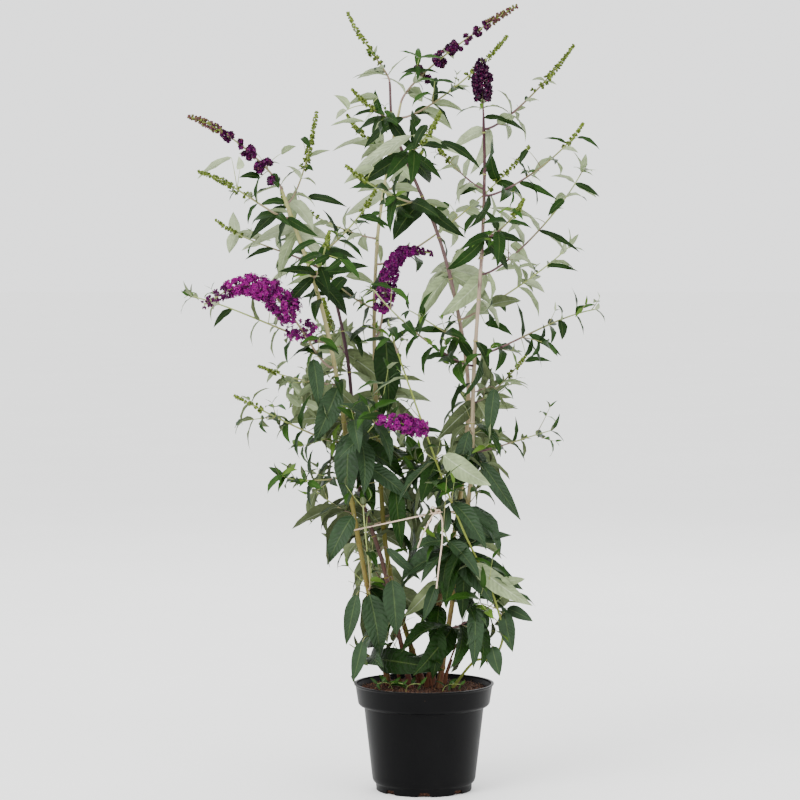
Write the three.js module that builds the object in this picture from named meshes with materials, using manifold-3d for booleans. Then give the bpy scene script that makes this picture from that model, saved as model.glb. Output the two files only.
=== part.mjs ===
// A butterfly bush in its nursery pot, in millimetres, +Z up.
// The origin is the middle of the pot's underside, and -Y is the plant's front.
import * as THREE from 'three';
import { mergeVertices } from 'three/addons/utils/BufferGeometryUtils.js';
import Module from 'manifold-3d';

const wasm = await Module();
wasm.setup();

// ---------------------------------------------------------------- driving sizes

// The pot: a moulded five-litre pot with a deep collar and a notched foot ring.
const POT = {
  height: 176,
  rim: 115,
  collarTop: 112.6,
  collarFoot: 108.6,
  collarDepth: 37,
  lip: 3,
  bodyTop: 98.6,
  bodyFoot: 85,
  foot: 79,
  footHeight: 15,
  wall: 1.8,
  floor: 2.4,
  sides: 32,
  notches: 8,
  notchWidth: 15,
  notchFlare: 4.5,
  notchHeight: 7.5,
};

// The compost stands a little below the rim and is level where the stems come up.
const SOIL = { top: 170, edge: 164, level: 62, sides: 32 };

const GAP = 0.3; // between any two pieces that meet
const CLEARANCE = 0.5; // kept round a leaf or side twig when its space is looked at
const SHORT_EDGES = [0.2, 0.1, 0.05]; // edges under the first of these that serves are closed up
const MERGE_STEPS = [1e-3, 1e-4]; // a mass is closed when points this near are made one

// Each stem: where it leaves the compost, the places that it passes, and its girth.
const STEMS = {
  left: {
    path: [[-58, 12], [-92, 4, 330], [-122, -4, 500], [-133, -14, 620], [-167, -30, 795], [-230, -52, 984]],
    girth: [4.4, 3],
  },
  dark: {
    path: [[-22, -18], [-66, 2, 366], [-107, 28, 500], [-124, 54, 690], [-148, 84, 808], [-170, 96, 850]],
    girth: [4, 2.2],
  },
  middle: {
    path: [[-2, 24], [-56, 36, 354], [-73, 52, 527], [-82, 78, 720], [-78, 100, 890], [-62, 116, 1012],
      [-38, 118, 1130]],
    girth: [4.4, 2.2],
  },
  right: {
    path: [[12, 4], [28, 12, 324], [57, 20, 460], [73, 20, 640], [58, 2, 770], [26, -26, 900],
      [-20, -52, 1010], [-50, -64, 1085], [-56, -66, 1156]],
    girth: [4.4, 2],
  },
  tall: {
    path: [[24, -24], [50, -34, 340], [75, -44, 510], [80, -54, 690], [92, -70, 880], [96, -82, 1010],
      [94, -90, 1098]],
    girth: [4.4, 2.2],
  },
  green: {
    path: [[46, -22], [82, -34, 216], [112, -50, 224], [127, -66, 265], [107, -84, 341], [61, -100, 440],
      [15, -106, 558], [-43, -98, 722]],
    girth: [2.3, 1.4],
  },
};
const STEM_SIDES = 5;
const STEM_STEPS = 18;
const STEM_FLARE = { more: 0.35, over: 0.06 }; // of its girth, over the first of its way

// A shoot's curve: how far it runs square to its stem, and how far it runs in to its tip.
const SHOOT = { steps: 24, out: 0.14, arrive: 0.34, onTip: 0.985 };

// Twigs are three-sided, a long shoot's is stouter, and each thins towards its tip.
const TWIG = { sides: 3, long: 180, stout: 1.9, slender: 1.6, thins: 0.5 };

// The ways in which a shoot ends. A tuft ends in leaves; each other is a row of whorls with its
// length, its radius, the waist between two whorls, and how much smaller the last one is.
const ENDS = {
  tuft: null,
  bud: { length: 46, radius: 3.4, whorls: 3, waist: 0.55, taper: 0.7 },
  spike: { length: 84, radius: 4.6, whorls: 4, waist: 0.5, taper: 0.66 },
  loose: { length: 176, radius: 11, whorls: 7, waist: 0.24, taper: 0.68, sides: 4 },
  great: { length: 222, radius: 24, whorls: 8, waist: 0.72, taper: 0.7, sides: 6 },
  dense: { length: 160, radius: 24, whorls: 6, waist: 0.72, taper: 0.62, sides: 6 },
  short: { length: 74, radius: 19, whorls: 3, waist: 0.74, taper: 0.5, sides: 6 },
  cone: { length: 58, radius: 20, whorls: 3, waist: 0.66, taper: 0.66, sides: 6 },
};

// Side shoots: the stem, the height of the node, the tip [x, y, z] and how the shoot ends.
// lift turns the tip up or down, via is a place that its curve is drawn towards, leaf is its longest
// leaf, pairs counts its leaf pairs, big is the length of the old leaves at its foot, and slim
// narrows its blossom.
const SHOOTS = [
  { on: 'left', at: 984, tip: [-377, -84, 1100], lift: -0.42, end: 'loose', leaf: 56, pairs: 2, bare: true },
  { on: 'left', at: 962, tip: [-176, 20, 1108], lift: 0.9, end: 'spike', leaf: 46, pairs: 2 },
  { on: 'left', at: 940, tip: [-355, -160, 1010], lift: -0.2, end: 'spike', leaf: 56, pairs: 2, big: 76 },
  { on: 'left', at: 915, tip: [-236, 92, 988], lift: 0.4, end: 'bud', leaf: 68, pairs: 3, big: 84 },
  { on: 'left', at: 868, tip: [-76, -110, 988], lift: 0.8, end: 'bud', leaf: 64, pairs: 3 },
  { on: 'left', at: 842, tip: [-150, -226, 915], lift: 0.2, end: 'bud', leaf: 72, pairs: 3, big: 96 },
  { on: 'left', at: 738, tip: [-374, -40, 811], lift: -0.1, end: 'tuft', leaf: 66, pairs: 3 },
  { on: 'left', at: 696, tip: [-350, -150, 800], via: [-235, -95, 880], lift: 0, end: 'great', leaf: 56, pairs: 1 },
  { on: 'left', at: 668, tip: [-272, 70, 693], lift: 0.2, end: 'bud', leaf: 62, pairs: 3, big: 96 },
  { on: 'left', at: 573, tip: [-304, -84, 652], lift: 0.1, end: 'bud', leaf: 66, pairs: 3, big: 116 },
  { on: 'left', at: 516, tip: [-227, -60, 520], lift: 0.3, end: 'tuft', leaf: 64, pairs: 3, big: 120 },
  { on: 'left', at: 455, tip: [-196, 104, 500], lift: 0.3, end: 'tuft', leaf: 76, pairs: 2, big: 118 },
  { on: 'left', at: 330, tip: [-99, -56, 474], lift: 1, end: 'tuft', leaf: 56, pairs: 3, big: 88 },
  { on: 'dark', at: 850, tip: [-346, 136, 934], lift: 0.3, end: 'bud', leaf: 60, pairs: 3 },
  { on: 'dark', at: 716, tip: [-170, 236, 800], lift: 0.5, end: 'spike', leaf: 72, pairs: 3, big: 96 },
  { on: 'dark', at: 600, tip: [-206, 186, 636], lift: 0.3, end: 'tuft', leaf: 78, pairs: 2, big: 112 },
  { on: 'middle', at: 1130, tip: [154, 110, 1290], lift: -0.2, end: 'loose', leaf: 60, pairs: 2 },
  { on: 'middle', at: 1106, tip: [134, 40, 1233], lift: 0.4, end: 'spike', leaf: 62, pairs: 3 },
  { on: 'middle', at: 1052, tip: [-128, 218, 1112], lift: 0.6, end: 'spike', leaf: 68, pairs: 3, big: 82 },
  { on: 'middle', at: 985, tip: [0, 250, 1056], lift: 0.4, end: 'bud', leaf: 70, pairs: 3, big: 90 },
  { on: 'middle', at: 905, tip: [-216, 170, 964], lift: 0.3, end: 'bud', leaf: 64, pairs: 3 },
  { on: 'middle', at: 862, tip: [172, 70, 1054], lift: 0.4, end: 'spike', leaf: 72, pairs: 3, big: 80 },
  { on: 'middle', at: 790, tip: [-206, 30, 900], lift: 0.5, end: 'tuft', leaf: 72, pairs: 3, big: 100 },
  { on: 'middle', at: 742, tip: [14, 6, 880], via: [-70, 30, 900], lift: 0, end: 'dense', leaf: 58, pairs: 1, slim: 0.62 },
  { on: 'middle', at: 640, tip: [-40, 222, 704], lift: 0.5, end: 'bud', leaf: 80, pairs: 3, big: 118 },
  { on: 'green', at: 600, tip: [-71, -150, 619], via: [14, -158, 604], lift: 0, end: 'short', leaf: 40, pairs: 1 },
  { on: 'right', at: 1156, tip: [-122, -62, 1264], lift: 0.4, end: 'spike', leaf: 56, pairs: 2 },
  { on: 'right', at: 1098, tip: [-114, -130, 1140], lift: 0.3, end: 'bud', leaf: 60, pairs: 3, big: 68 },
  { on: 'right', at: 1040, tip: [22, -226, 1100], lift: 0.4, end: 'spike', leaf: 68, pairs: 3, big: 86 },
  { on: 'right', at: 965, tip: [-122, -196, 1018], lift: 0.3, end: 'bud', leaf: 70, pairs: 3, big: 92 },
  { on: 'right', at: 846, tip: [58, 160, 884], lift: 0.3, end: 'bud', leaf: 72, pairs: 3, big: 106 },
  { on: 'right', at: 772, tip: [242, 120, 890], lift: 0.2, end: 'tuft', leaf: 70, pairs: 3 },
  { on: 'right', at: 744, tip: [-24, -90, 790], lift: 0, end: 'tuft', leaf: 60, pairs: 2, big: 76 },
  { on: 'right', at: 580, tip: [120, 176, 640], lift: 0.3, end: 'tuft', leaf: 80, pairs: 3, big: 118 },
  { on: 'tall', at: 1098, tip: [90, -96, 1190], lift: 1, end: 'cone', leaf: 44, pairs: 1, bare: true },
  { on: 'tall', at: 1080, tip: [237, -70, 1212], lift: 0.4, end: 'spike', leaf: 64, pairs: 3, big: 90 },
  { on: 'tall', at: 985, tip: [12, 0, 1066], lift: 0.3, end: 'bud', leaf: 58, pairs: 3 },
  { on: 'tall', at: 974, tip: [250, -130, 1086], lift: 0.7, end: 'bud', leaf: 68, pairs: 3, big: 72 },
  { on: 'tall', at: 905, tip: [152, -240, 966], lift: 0.4, end: 'bud', leaf: 68, pairs: 3, big: 90 },
  { on: 'tall', at: 848, tip: [256, 0, 1012], lift: 0.6, end: 'tuft', leaf: 72, pairs: 3, big: 104 },
  { on: 'tall', at: 718, tip: [272, -100, 792], lift: -0.2, end: 'tuft', leaf: 66, pairs: 4, big: 90 },
  { on: 'tall', at: 700, tip: [-80, -168, 824], lift: 0.4, end: 'tuft', leaf: 60, pairs: 3 },
  { on: 'tall', at: 640, tip: [168, 10, 716], lift: 0.4, end: 'bud', leaf: 68, pairs: 3, big: 100 },
  { on: 'tall', at: 560, tip: [202, -90, 597], lift: 0, end: 'tuft', leaf: 56, pairs: 3, big: 120 },
  { on: 'green', at: 722, tip: [-58, -124, 776], lift: 0.4, end: 'tuft', leaf: 62, pairs: 2, bare: true },
];

// Low shoots: short leafy ones that fill the foot of the bush, set round the clump by turns.
const LOW = {
  stems: ['left', 'tall', 'dark', 'tall', 'middle', 'right', 'left'],
  bottom: 214,
  step: 58,
  reach: 96,
  climb: 56,
  start: 200,
  turn: 137.5,
};
const LOW_SHOOT = { lift: 0.2, end: 'tuft', leaf: 106, big: 122, pairs: 4, kind: 'low' };

// A leaf: its thickness and outline as shares of its length, and how deep its root is sunk past
// the middle of its twig. A fullness under 1 brings the widest place nearer the foot.
const LEAF = { thickness: 0.016, fullness: 0.75, spacing: 1.25, sunk: 0.1 };

// Pairs of leaves by where they stand. Each [least, more] is a least value and what chance adds to
// it: the swing round the twig, the size against the shoot's leaf, the rise towards the tip in
// radians, how far it sags, its width by its length, the arc that it bends through, and its fold.
const YOUNG = { stations: 2, width: [0.25, 0.1], bend: [0.5, 0.9], fold: [0.15, 0.3] };
const PAIRS = {
  old: { ...YOUNG, swing: [-0.35, 0.7], size: [0.85, 0.3], rise: [0.1, 0], sag: [0.55, 0.5],
    width: [0.31, 0.08], stations: 3 },
  along: { ...YOUNG, swing: [-0.3, 0.6], size: [0.82, 0.36], rise: [0.45, 0.4], sag: [0, 0.25] },
  low: { ...YOUNG, swing: [-0.4, 0.8], size: [0.82, 0.36], rise: [0.3, 0.3], sag: [0.2, 0.6],
    width: [0.3, 0.08] },
  top: { ...YOUNG, swing: [0.8, 0], size: [0.4, 0.2], rise: [1, 0], sag: [0, 0] },
  side: { ...YOUNG, swing: [0, 0.8], size: [0.5, 0.25], rise: [0.7, 0], sag: [0.1, 0] },
};
const FACE = { forward: 0.6, up: 0.5, back: [-0.6, 0.5] }; // which way a leaf's upper side looks
const TURNS = [0, 0.6, -0.6]; // turns round its twig that a leaf tries before it is left out

// Where leaf pairs stand, as shares of the way that bears no blossom, and how fast they shrink.
const SPACING = { foot: 0.07, first: 0.16, run: 0.8, early: 0.6, shrink: 0.45 };
const MOST_FLOWER = 0.86; // the most of a shoot's way that blossom takes
const TUFT_TOP = 0.03; // what a tuft keeps bare at its tip
const FINE = 8; // blossom thinner than this is a swelling of its twig
const BLOSSOM_ROOT = 0.9; // how far down into full blossom its twig runs, as a share of it

// A side twig on a long shoot: its length against the shoot's, and its radius and thinning.
const SIDE_TWIG = {
  longShoot: 200,
  length: [0.24, 0.14],
  most: 170,
  round: 0.8,
  forward: 0.7,
  lift: 0.12,
  bow: 0.55,
  bowLift: 0.06,
  radius: 1,
  thins: 0.45,
  pairAt: 0.97,
  leafRadius: 0.8,
};
const FIRST_SEED = 4127;
const SEED_STEP = 7919;

const COLOURS = {
  pot: 0x2b2b2b,
  soil: 0x3b2018,
  bark: 0x8a6f52,
  dark: 0x4d3236,
  green: 0x8f9a52,
  leaf: 0x47663a,
  blossom: 0x7c1177,
};

// ---------------------------------------------------------------- helpers

function finish(colour, roughness) {
  return new THREE.MeshStandardMaterial({ color: colour, roughness, metalness: 0 });
}

function node(name, geometry, material) {
  const mesh = new THREE.Mesh(geometry, material);
  mesh.name = name;
  return mesh;
}

// A closed geometry as a solid that can be joined and cut.
function solid(geometry) {
  const bare = geometry.clone();
  bare.deleteAttribute('normal');
  bare.deleteAttribute('uv');
  const merged = mergeVertices(bare, 1e-4);
  const points = new Float32Array(merged.attributes.position.array);
  const triangles = new Uint32Array(merged.index.array);
  return new wasm.Manifold(new wasm.Mesh({ numProp: 3, vertProperties: points, triVerts: triangles }));
}

function geometryOf(body) {
  const mesh = body.getMesh();
  const geometry = new THREE.BufferGeometry();
  geometry.setAttribute('position', new THREE.BufferAttribute(mesh.vertProperties, 3));
  geometry.setIndex(new THREE.BufferAttribute(mesh.triVerts, 1));
  return geometry;
}

// The same numbers from 0 to 1 each time, from one seed.
function dice(seed) {
  let state = seed;
  return () => {
    state = (state * 16807) % 2147483647;
    return state / 2147483647;
  };
}

// A least value and what chance adds to it.
function chance([least, more], draw) {
  return least + more * draw();
}

function vector(list) {
  return new THREE.Vector3(...list);
}

const UP = new THREE.Vector3(0, 0, 1);
const BACK = new THREE.Vector3(0, 1, 0);
const STEEP = 0.9; // a limb steeper than this takes its first side from BACK
const GLANCE = 0.01; // how far along its curve a limb's direction is read

// ---------------------------------------------------------------- limbs

// A limb is a curve sampled at even steps, with a sideways direction carried along it untwisted.
function limb(curve, steps) {
  const spots = [];
  let side = null;
  for (let i = 0; i <= steps; i++) {
    const t = i / steps;
    const ahead = curve.getPoint(Math.min(1, t + GLANCE));
    const along = ahead.sub(curve.getPoint(Math.max(0, t - GLANCE))).normalize();
    side ??= new THREE.Vector3().crossVectors(along, Math.abs(along.z) > STEEP ? BACK : UP);
    side.addScaledVector(along, -side.dot(along)).normalize();
    const over = new THREE.Vector3().crossVectors(side, along);
    spots.push({ at: curve.getPoint(t), along, side: side.clone(), over });
  }
  return spots;
}

// The place and directions at a share of a limb's way.
function between(spots, share) {
  const last = spots.length - 1;
  const place = Math.min(1, Math.max(0, share)) * last;
  const k = Math.min(last - 1, Math.floor(place));
  const [a, b] = [spots[k], spots[k + 1]];
  const at = a.at.clone().lerp(b.at, place - k);
  const along = a.along.clone().lerp(b.along, place - k).normalize();
  const side = a.side.clone().addScaledVector(along, -a.side.dot(along)).normalize();
  return { at, along, side, over: new THREE.Vector3().crossVectors(side, along) };
}

function lengthOf(spots) {
  return spots.slice(1).reduce((sum, spot, i) => sum + spot.at.distanceTo(spots[i].at), 0);
}

// A direction square to a limb, at an angle round it.
function roundOf(spot, angle) {
  return spot.side.clone().multiplyScalar(Math.cos(angle)).addScaledVector(spot.over, Math.sin(angle));
}

// A closed tube along a limb, from rings that each have a share of its way and a radius.
function tube(spots, rings, sides) {
  const last = rings.length - 1;
  const geometry = new THREE.CylinderGeometry(1, 1, 1, sides, last);
  const position = geometry.attributes.position;
  for (let i = 0; i < position.count; i++) {
    const [share, radius] = rings[Math.round((0.5 + position.getY(i)) * last)];
    const ring = between(spots, share);
    const point = ring.at.clone();
    point.addScaledVector(ring.side, position.getX(i) * radius);
    point.addScaledVector(ring.over, position.getZ(i) * radius);
    position.setXYZ(i, point.x, point.y, point.z);
  }
  return geometry;
}

// ---------------------------------------------------------------- pot and compost

function potShell() {
  const p = POT;
  const collarFloor = p.height - p.collarDepth;
  const outline = [
    [0, p.floor],
    [p.foot - p.wall, p.floor],
    [p.foot - p.wall, p.footHeight - 0.7],
    [p.bodyFoot - p.wall, p.footHeight + 1.3],
    [p.bodyTop - p.wall, collarFloor + 2],
    [p.collarTop - p.wall, p.height - p.lip],
    [p.collarTop - p.wall, p.height],
    [p.rim, p.height],
    [p.rim, p.height - p.lip],
    [p.collarTop, p.height - p.lip],
    [p.collarFoot, collarFloor + 3],
    [p.collarFoot - 4, collarFloor],
    [p.bodyTop, collarFloor],
    [p.bodyFoot, p.footHeight],
    [p.foot, p.footHeight - 2],
    [p.foot, 0],
    [0, 0],
  ];
  const shape = outline.map(([r, z]) => new THREE.Vector2(r, z)).reverse();
  const shell = new THREE.LatheGeometry(shape, p.sides);
  shell.rotateX(Math.PI / 2);
  return shell;
}

// A drain notch: a wedge that runs in from the foot ring.
function drainNotch(turn) {
  const depth = 14;
  const low = POT.notchWidth / 2 + POT.notchFlare;
  const outline = new THREE.Shape();
  outline.moveTo(-low, -1);
  outline.lineTo(low, -1);
  outline.lineTo(POT.notchWidth / 2, POT.notchHeight);
  outline.lineTo(-POT.notchWidth / 2, POT.notchHeight);
  const notch = new THREE.ExtrudeGeometry(outline, { depth, bevelEnabled: false });
  notch.rotateX(Math.PI / 2);
  notch.translate(0, -POT.foot + depth - 4, 0);
  notch.rotateZ(turn);
  return notch;
}

function pot() {
  let body = solid(potShell());
  for (let i = 0; i < POT.notches; i++) {
    body = body.subtract(solid(drainNotch((i * 2 * Math.PI) / POT.notches)));
  }
  return node('pot', geometryOf(body), finish(COLOURS.pot, 0.45));
}

function soil() {
  const p = POT;
  const bottom = p.floor + GAP;
  const inside = p.wall + 0.8;
  const outline = [
    [0, bottom],
    [p.foot - inside, bottom],
    [p.foot - inside, p.footHeight + 0.2],
    [p.bodyFoot - inside, p.footHeight + 2.4],
    [p.bodyTop - inside - 0.6, p.height - p.collarDepth + 4],
    [p.collarFoot - inside, SOIL.edge],
    [SOIL.level, SOIL.top],
    [0, SOIL.top],
  ];
  const shape = outline.map(([r, z]) => new THREE.Vector2(r, z));
  const fill = new THREE.LatheGeometry(shape, SOIL.sides);
  fill.rotateX(Math.PI / 2);
  return node('soil', fill, finish(COLOURS.soil, 0.95));
}

// ---------------------------------------------------------------- stems

function stemLimb(stem) {
  const [foot, ...rest] = stem.path;
  const points = [vector([...foot, SOIL.top + GAP]), ...rest.map(vector)];
  return limb(new THREE.CatmullRomCurve3(points, false, 'catmullrom', 0.5), STEM_STEPS);
}

// A stem swells a little where it leaves the compost and is cut level there.
function stemRadius(stem, own) {
  const [low, high] = stem.girth;
  const flare = STEM_FLARE.more * low * Math.max(0, 1 - own / STEM_FLARE.over);
  return low + (high - low) * own + flare;
}

function stemGeometry(stem, spots) {
  const rings = [];
  for (let i = 0; i <= STEM_STEPS; i++) {
    const share = i / STEM_STEPS;
    rings.push([share, stemRadius(stem, share)]);
  }
  const geometry = tube(spots, rings, STEM_SIDES);
  const position = geometry.attributes.position;
  const lowest = spots[0].at.z + stem.girth[0];
  for (let i = 0; i < position.count; i++) {
    if (position.getZ(i) < lowest) {
      position.setZ(i, spots[0].at.z);
    }
  }
  return geometry;
}

// How far a stem's flat faces and corners stand out from its middle under a stout twig that comes
// square to it from one direction.
function stemFace(stem, spot, share, out) {
  const radius = stemRadius(stem, share);
  const half = Math.PI / STEM_SIDES;
  const angle = Math.atan2(out.dot(spot.side), out.dot(spot.over)) / (2 * half);
  const fromCorner = Math.abs(angle - Math.round(angle)) * 2 * half;
  const fromFace = half - fromCorner;
  const face = (radius * Math.cos(half) + TWIG.stout * Math.sin(fromFace)) / Math.cos(fromFace);
  return Math.min(radius * Math.cos(fromCorner), face);
}

// The height at which a stem is met, as a share of its way.
function shareAt(spots, height) {
  const last = spots.length - 1;
  let best = last;
  for (let i = last; i > 0; i--) {
    if (spots[i].at.z >= height) {
      best = i;
    }
  }
  const low = spots[best - 1].at.z;
  const high = spots[best].at.z;
  return (best - 1 + Math.min(1, (height - low) / (high - low))) / last;
}

// ---------------------------------------------------------------- leaves and ends

// A leaf springs from a point, bends in an arc over its own under side, and is folded at its rib.
// Spare is room kept round it.
function leafGeometry(leaf, spare = 0) {
  const geometry = new THREE.SphereGeometry(1, 4, leaf.stations);
  const position = geometry.attributes.position;
  const side = new THREE.Vector3().crossVectors(leaf.along, leaf.over);
  const halfThick = LEAF.thickness * 0.5 * leaf.length + spare;
  const halfWide = leaf.width * 0.5 + spare;
  for (let i = 0; i < position.count; i++) {
    const own = Math.pow((1 - position.getY(i)) / 2, LEAF.spacing);
    const wide = Math.sin(Math.PI * Math.pow(own, LEAF.fullness));
    const turn = leaf.bend * own;
    const across = -Math.sign(Math.round(position.getX(i) * 100)) * wide;
    const thick = Math.sign(Math.round(position.getZ(i) * 100)) * wide;
    const point = leaf.root.clone();
    point.addScaledVector(leaf.along, (Math.sin(turn) / leaf.bend) * leaf.length);
    point.addScaledVector(leaf.over, ((Math.cos(turn) - 1) / leaf.bend) * leaf.length);
    point.addScaledVector(leaf.over, thick * halfThick + Math.abs(across) * leaf.fold * halfWide);
    point.addScaledVector(side, across * halfWide);
    position.setXYZ(i, point.x, point.y, point.z);
  }
  return geometry;
}

// A pair of leaves for a spot of a twig, one on each side of it, with all that chance decides.
function leafPair(kind, spot, turned, size, radius, draw) {
  return [0, 1].map((half) => {
    const angle = half * Math.PI + turned + chance(kind.swing, draw);
    const length = size * chance(kind.size, draw);
    const rise = chance(kind.rise, draw);
    const sag = chance(kind.sag, draw);
    const back = chance(FACE.back, draw);
    const width = length * chance(kind.width, draw);
    const bend = chance(kind.bend, draw);
    const fold = chance(kind.fold, draw);
    return { spot, radius, angle, length, rise, sag, back, width, bend, fold, stations: kind.stations };
  });
}

// A leaf in its place, turned round its twig by so much more.
function placed(leaf, turn) {
  const { spot, rise } = leaf;
  const round = roundOf(spot, leaf.angle + turn);
  const along = round.clone().multiplyScalar(Math.cos(rise)).addScaledVector(spot.along, Math.sin(rise));
  along.addScaledVector(UP, -leaf.sag).normalize();
  const over = spot.along.clone().multiplyScalar(FACE.forward).addScaledVector(UP, FACE.up);
  over.addScaledVector(round, leaf.back);
  over.addScaledVector(along, -over.dot(along)).normalize();
  const root = spot.at.clone().addScaledVector(along, -LEAF.sunk * leaf.radius);
  return { ...leaf, along, over, root };
}

// The rings of the blossom or buds on the last of a shoot: whorls, smaller towards the tip.
function whorlRings(mass) {
  const { end, flower, slim } = mass;
  const rings = [];
  const count = end.whorls * 2;
  for (let i = 0; i <= count; i++) {
    const size = end.radius * slim * (1 - (end.taper * i) / count);
    const swell = i % 2 === 1 ? 1 : end.waist;
    rings.push([1 - flower + (flower * i) / count, i === count ? size * 0.4 : size * swell]);
  }
  return rings;
}

// ---------------------------------------------------------------- shoots

// A curve that leaves its first place and comes to its last, drawn towards those between.
class DrawnCurve extends THREE.Curve {
  constructor(places) {
    super();
    this.places = places;
  }

  getPoint(t) {
    let level = this.places;
    while (level.length > 1) {
      level = level.slice(1).map((place, k) => level[k].clone().lerp(place, t));
    }
    return level[0];
  }
}

// A shoot leaves its stem square to it, or on from its tip, GAP clear, and curves to its own tip.
function shootLimb(shoot, stemSpots, stem) {
  const share = shareAt(stemSpots, shoot.at);
  const base = between(stemSpots, share);
  const onTip = share > SHOOT.onTip;
  const tip = vector(shoot.tip);
  const reach = tip.clone().sub(base.at);
  const out = base.along.clone();
  if (!onTip) {
    out.multiplyScalar(-reach.dot(out)).add(reach).normalize();
  }
  const root = base.at.clone().addScaledVector(out, GAP + (onTip ? 0 : stemFace(stem, base, share, out)));
  const way = tip.distanceTo(root);
  const via = shoot.via ? [vector(shoot.via)] : [];
  const last = shoot.via ? tip.clone().sub(via[0]) : reach;
  const arrive = last.normalize().addScaledVector(UP, shoot.lift).normalize();
  const bow = root.clone().addScaledVector(out, SHOOT.out * way);
  const rise = tip.clone().addScaledVector(arrive, -SHOOT.arrive * way);
  return limb(new DrawnCurve([root, bow, ...via, rise, tip]), SHOOT.steps);
}

// A side twig from a spot of a shoot, with a pair of small leaves at its tip.
function sideTwig(spot, way, leaf, draw) {
  const s = SIDE_TWIG;
  const angle = draw() * 2 * Math.PI;
  const length = chance(s.length, draw) * Math.min(way, s.most);
  const away = roundOf(spot, angle).multiplyScalar(s.round);
  away.addScaledVector(spot.along, s.forward).normalize();
  const start = spot.at.clone();
  const stop = start.clone().addScaledVector(away, length).addScaledVector(UP, s.lift * length);
  const bow = start.clone().lerp(stop, s.bow).addScaledVector(UP, s.bowLift * length);
  const spots = limb(new THREE.QuadraticBezierCurve3(start, bow, stop), SHOOT.steps);
  const leaves = leafPair(PAIRS.side, between(spots, s.pairAt), 0, leaf, s.leafRadius, draw);
  return { spots, leaves };
}

// All of a shoot's leaves and side twigs, by its seed: old leaves at its foot, pairs that stand
// crosswise up it, a pair at the tip of a tuft, and a side twig from a node of a long shoot.
function growShoot(shoot, spots, number) {
  const draw = dice(FIRST_SEED + number * SEED_STEP);
  const end = ENDS[shoot.end];
  const way = lengthOf(spots);
  const flower = end ? Math.min(MOST_FLOWER, end.length / way) : TUFT_TOP;
  const radius = way > TWIG.long ? TWIG.stout : TWIG.slender;
  const thin = (share) => radius * (1 - TWIG.thins * share);
  const kind = PAIRS[shoot.kind ?? 'along'];
  const leaves = [];
  const nodes = [];
  if (shoot.big) {
    leaves.push(...leafPair(PAIRS.old, between(spots, SPACING.foot), 0, shoot.big, radius, draw));
  }
  for (let i = 0; i < shoot.pairs; i++) {
    const share = (1 - flower) * (SPACING.first + (SPACING.run * (i + SPACING.early)) / shoot.pairs);
    const size = shoot.leaf * (1 - (SPACING.shrink * i) / shoot.pairs);
    const turned = (i % 2) * (Math.PI / 2);
    leaves.push(...leafPair(kind, between(spots, share), turned, size, thin(share), draw));
    nodes.push(share);
  }
  if (!end) {
    leaves.push(...leafPair(PAIRS.top, between(spots, 1), 0, shoot.leaf, thin(1), draw));
  }
  const twigs = [];
  if (way > SIDE_TWIG.longShoot && !shoot.bare) {
    const share = nodes[Math.floor(draw() * nodes.length) % nodes.length];
    twigs.push(sideTwig(between(spots, share), way, shoot.leaf, draw));
  }
  const joints = [0, SPACING.foot, ...nodes, 1 - flower];
  return { spots, end, flower, thin, joints, leaves, twigs, slim: shoot.slim ?? 1 };
}

// ---------------------------------------------------------------- keeping to its own space

const taken = []; // solids that stand already, each with its owner and its box

function boxOf(body) {
  const box = body.boundingBox();
  return new THREE.Box3(vector(box.min), vector(box.max));
}

function occupy(owner, body) {
  taken.push({ owner, body, box: boxOf(body) });
}

// Whether a body would touch what another owner has placed.
function touches(owner, body) {
  const box = boxOf(body);
  return taken.some((other) => other.owner !== owner && other.box.intersectsBox(box)
    && !other.body.intersect(body).isEmpty());
}

// A shoot's twig and blossom as one solid. Fine buds are swellings of the twig itself, and full
// blossom is a body of its own round it.
function mainBody(mass) {
  const rings = mass.joints.map((share) => [share, mass.thin(share)]);
  if (!mass.end) {
    return solid(tube(mass.spots, [...rings, [1, mass.thin(1)]], TWIG.sides));
  }
  if (mass.end.radius < FINE) {
    return solid(tube(mass.spots, [...rings.slice(0, -1), ...whorlRings(mass)], TWIG.sides));
  }
  const top = [1 - BLOSSOM_ROOT * mass.flower, mass.thin(1)];
  const twig = solid(tube(mass.spots, [...rings, top], TWIG.sides));
  return twig.add(solid(tube(mass.spots, whorlRings(mass), mass.end.sides)));
}

// Whether a body is still closed when points nearer than a small step are made one.
function closedAt(body, step) {
  const { vertProperties, triVerts } = body.getMesh();
  const names = new Map();
  const name = (i) => {
    const key = [0, 1, 2].map((k) => Math.round(vertProperties[3 * i + k] / step)).join();
    return names.get(key) ?? names.set(key, names.size).get(key);
  };
  const edges = new Map();
  for (let i = 0; i < triVerts.length; i += 3) {
    const corners = [0, 1, 2].map((k) => name(triVerts[i + k]));
    if (new Set(corners).size === 3) {
      corners.forEach((a, k) => {
        const b = corners[(k + 1) % 3];
        const edge = a < b ? `${a},${b}` : `${b},${a}`;
        edges.set(edge, (edges.get(edge) ?? 0) + 1);
      });
    }
  }
  return [...edges.values()].every((uses) => uses === 2);
}

function isClosed(body) {
  return MERGE_STEPS.every((step) => closedAt(body, step));
}

// Fuses one more piece on to a mass: a scrap that comes loose is dropped, a hollow that joining
// seals is filled, and a piece that doesn't fuse cleanly is left out.
function fuse(mass, piece) {
  const parts = mass.body.add(piece).decompose();
  const whole = parts.reduce((a, b) => (b.volume() > a.volume() ? b : a));
  if (!isClosed(whole)) {
    return false;
  }
  mass.body = whole;
  occupy(mass.name, piece);
  return true;
}

// Each leaf takes the first of its turns in which it touches no stem and no other mass.
function addLeaves(mass, leaves) {
  for (const leaf of leaves) {
    TURNS.map((turn) => placed(leaf, turn)).some((way) => {
      const room = !touches(mass.name, solid(leafGeometry(way, CLEARANCE)));
      return room && fuse(mass, solid(leafGeometry(way)));
    });
  }
}

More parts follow.
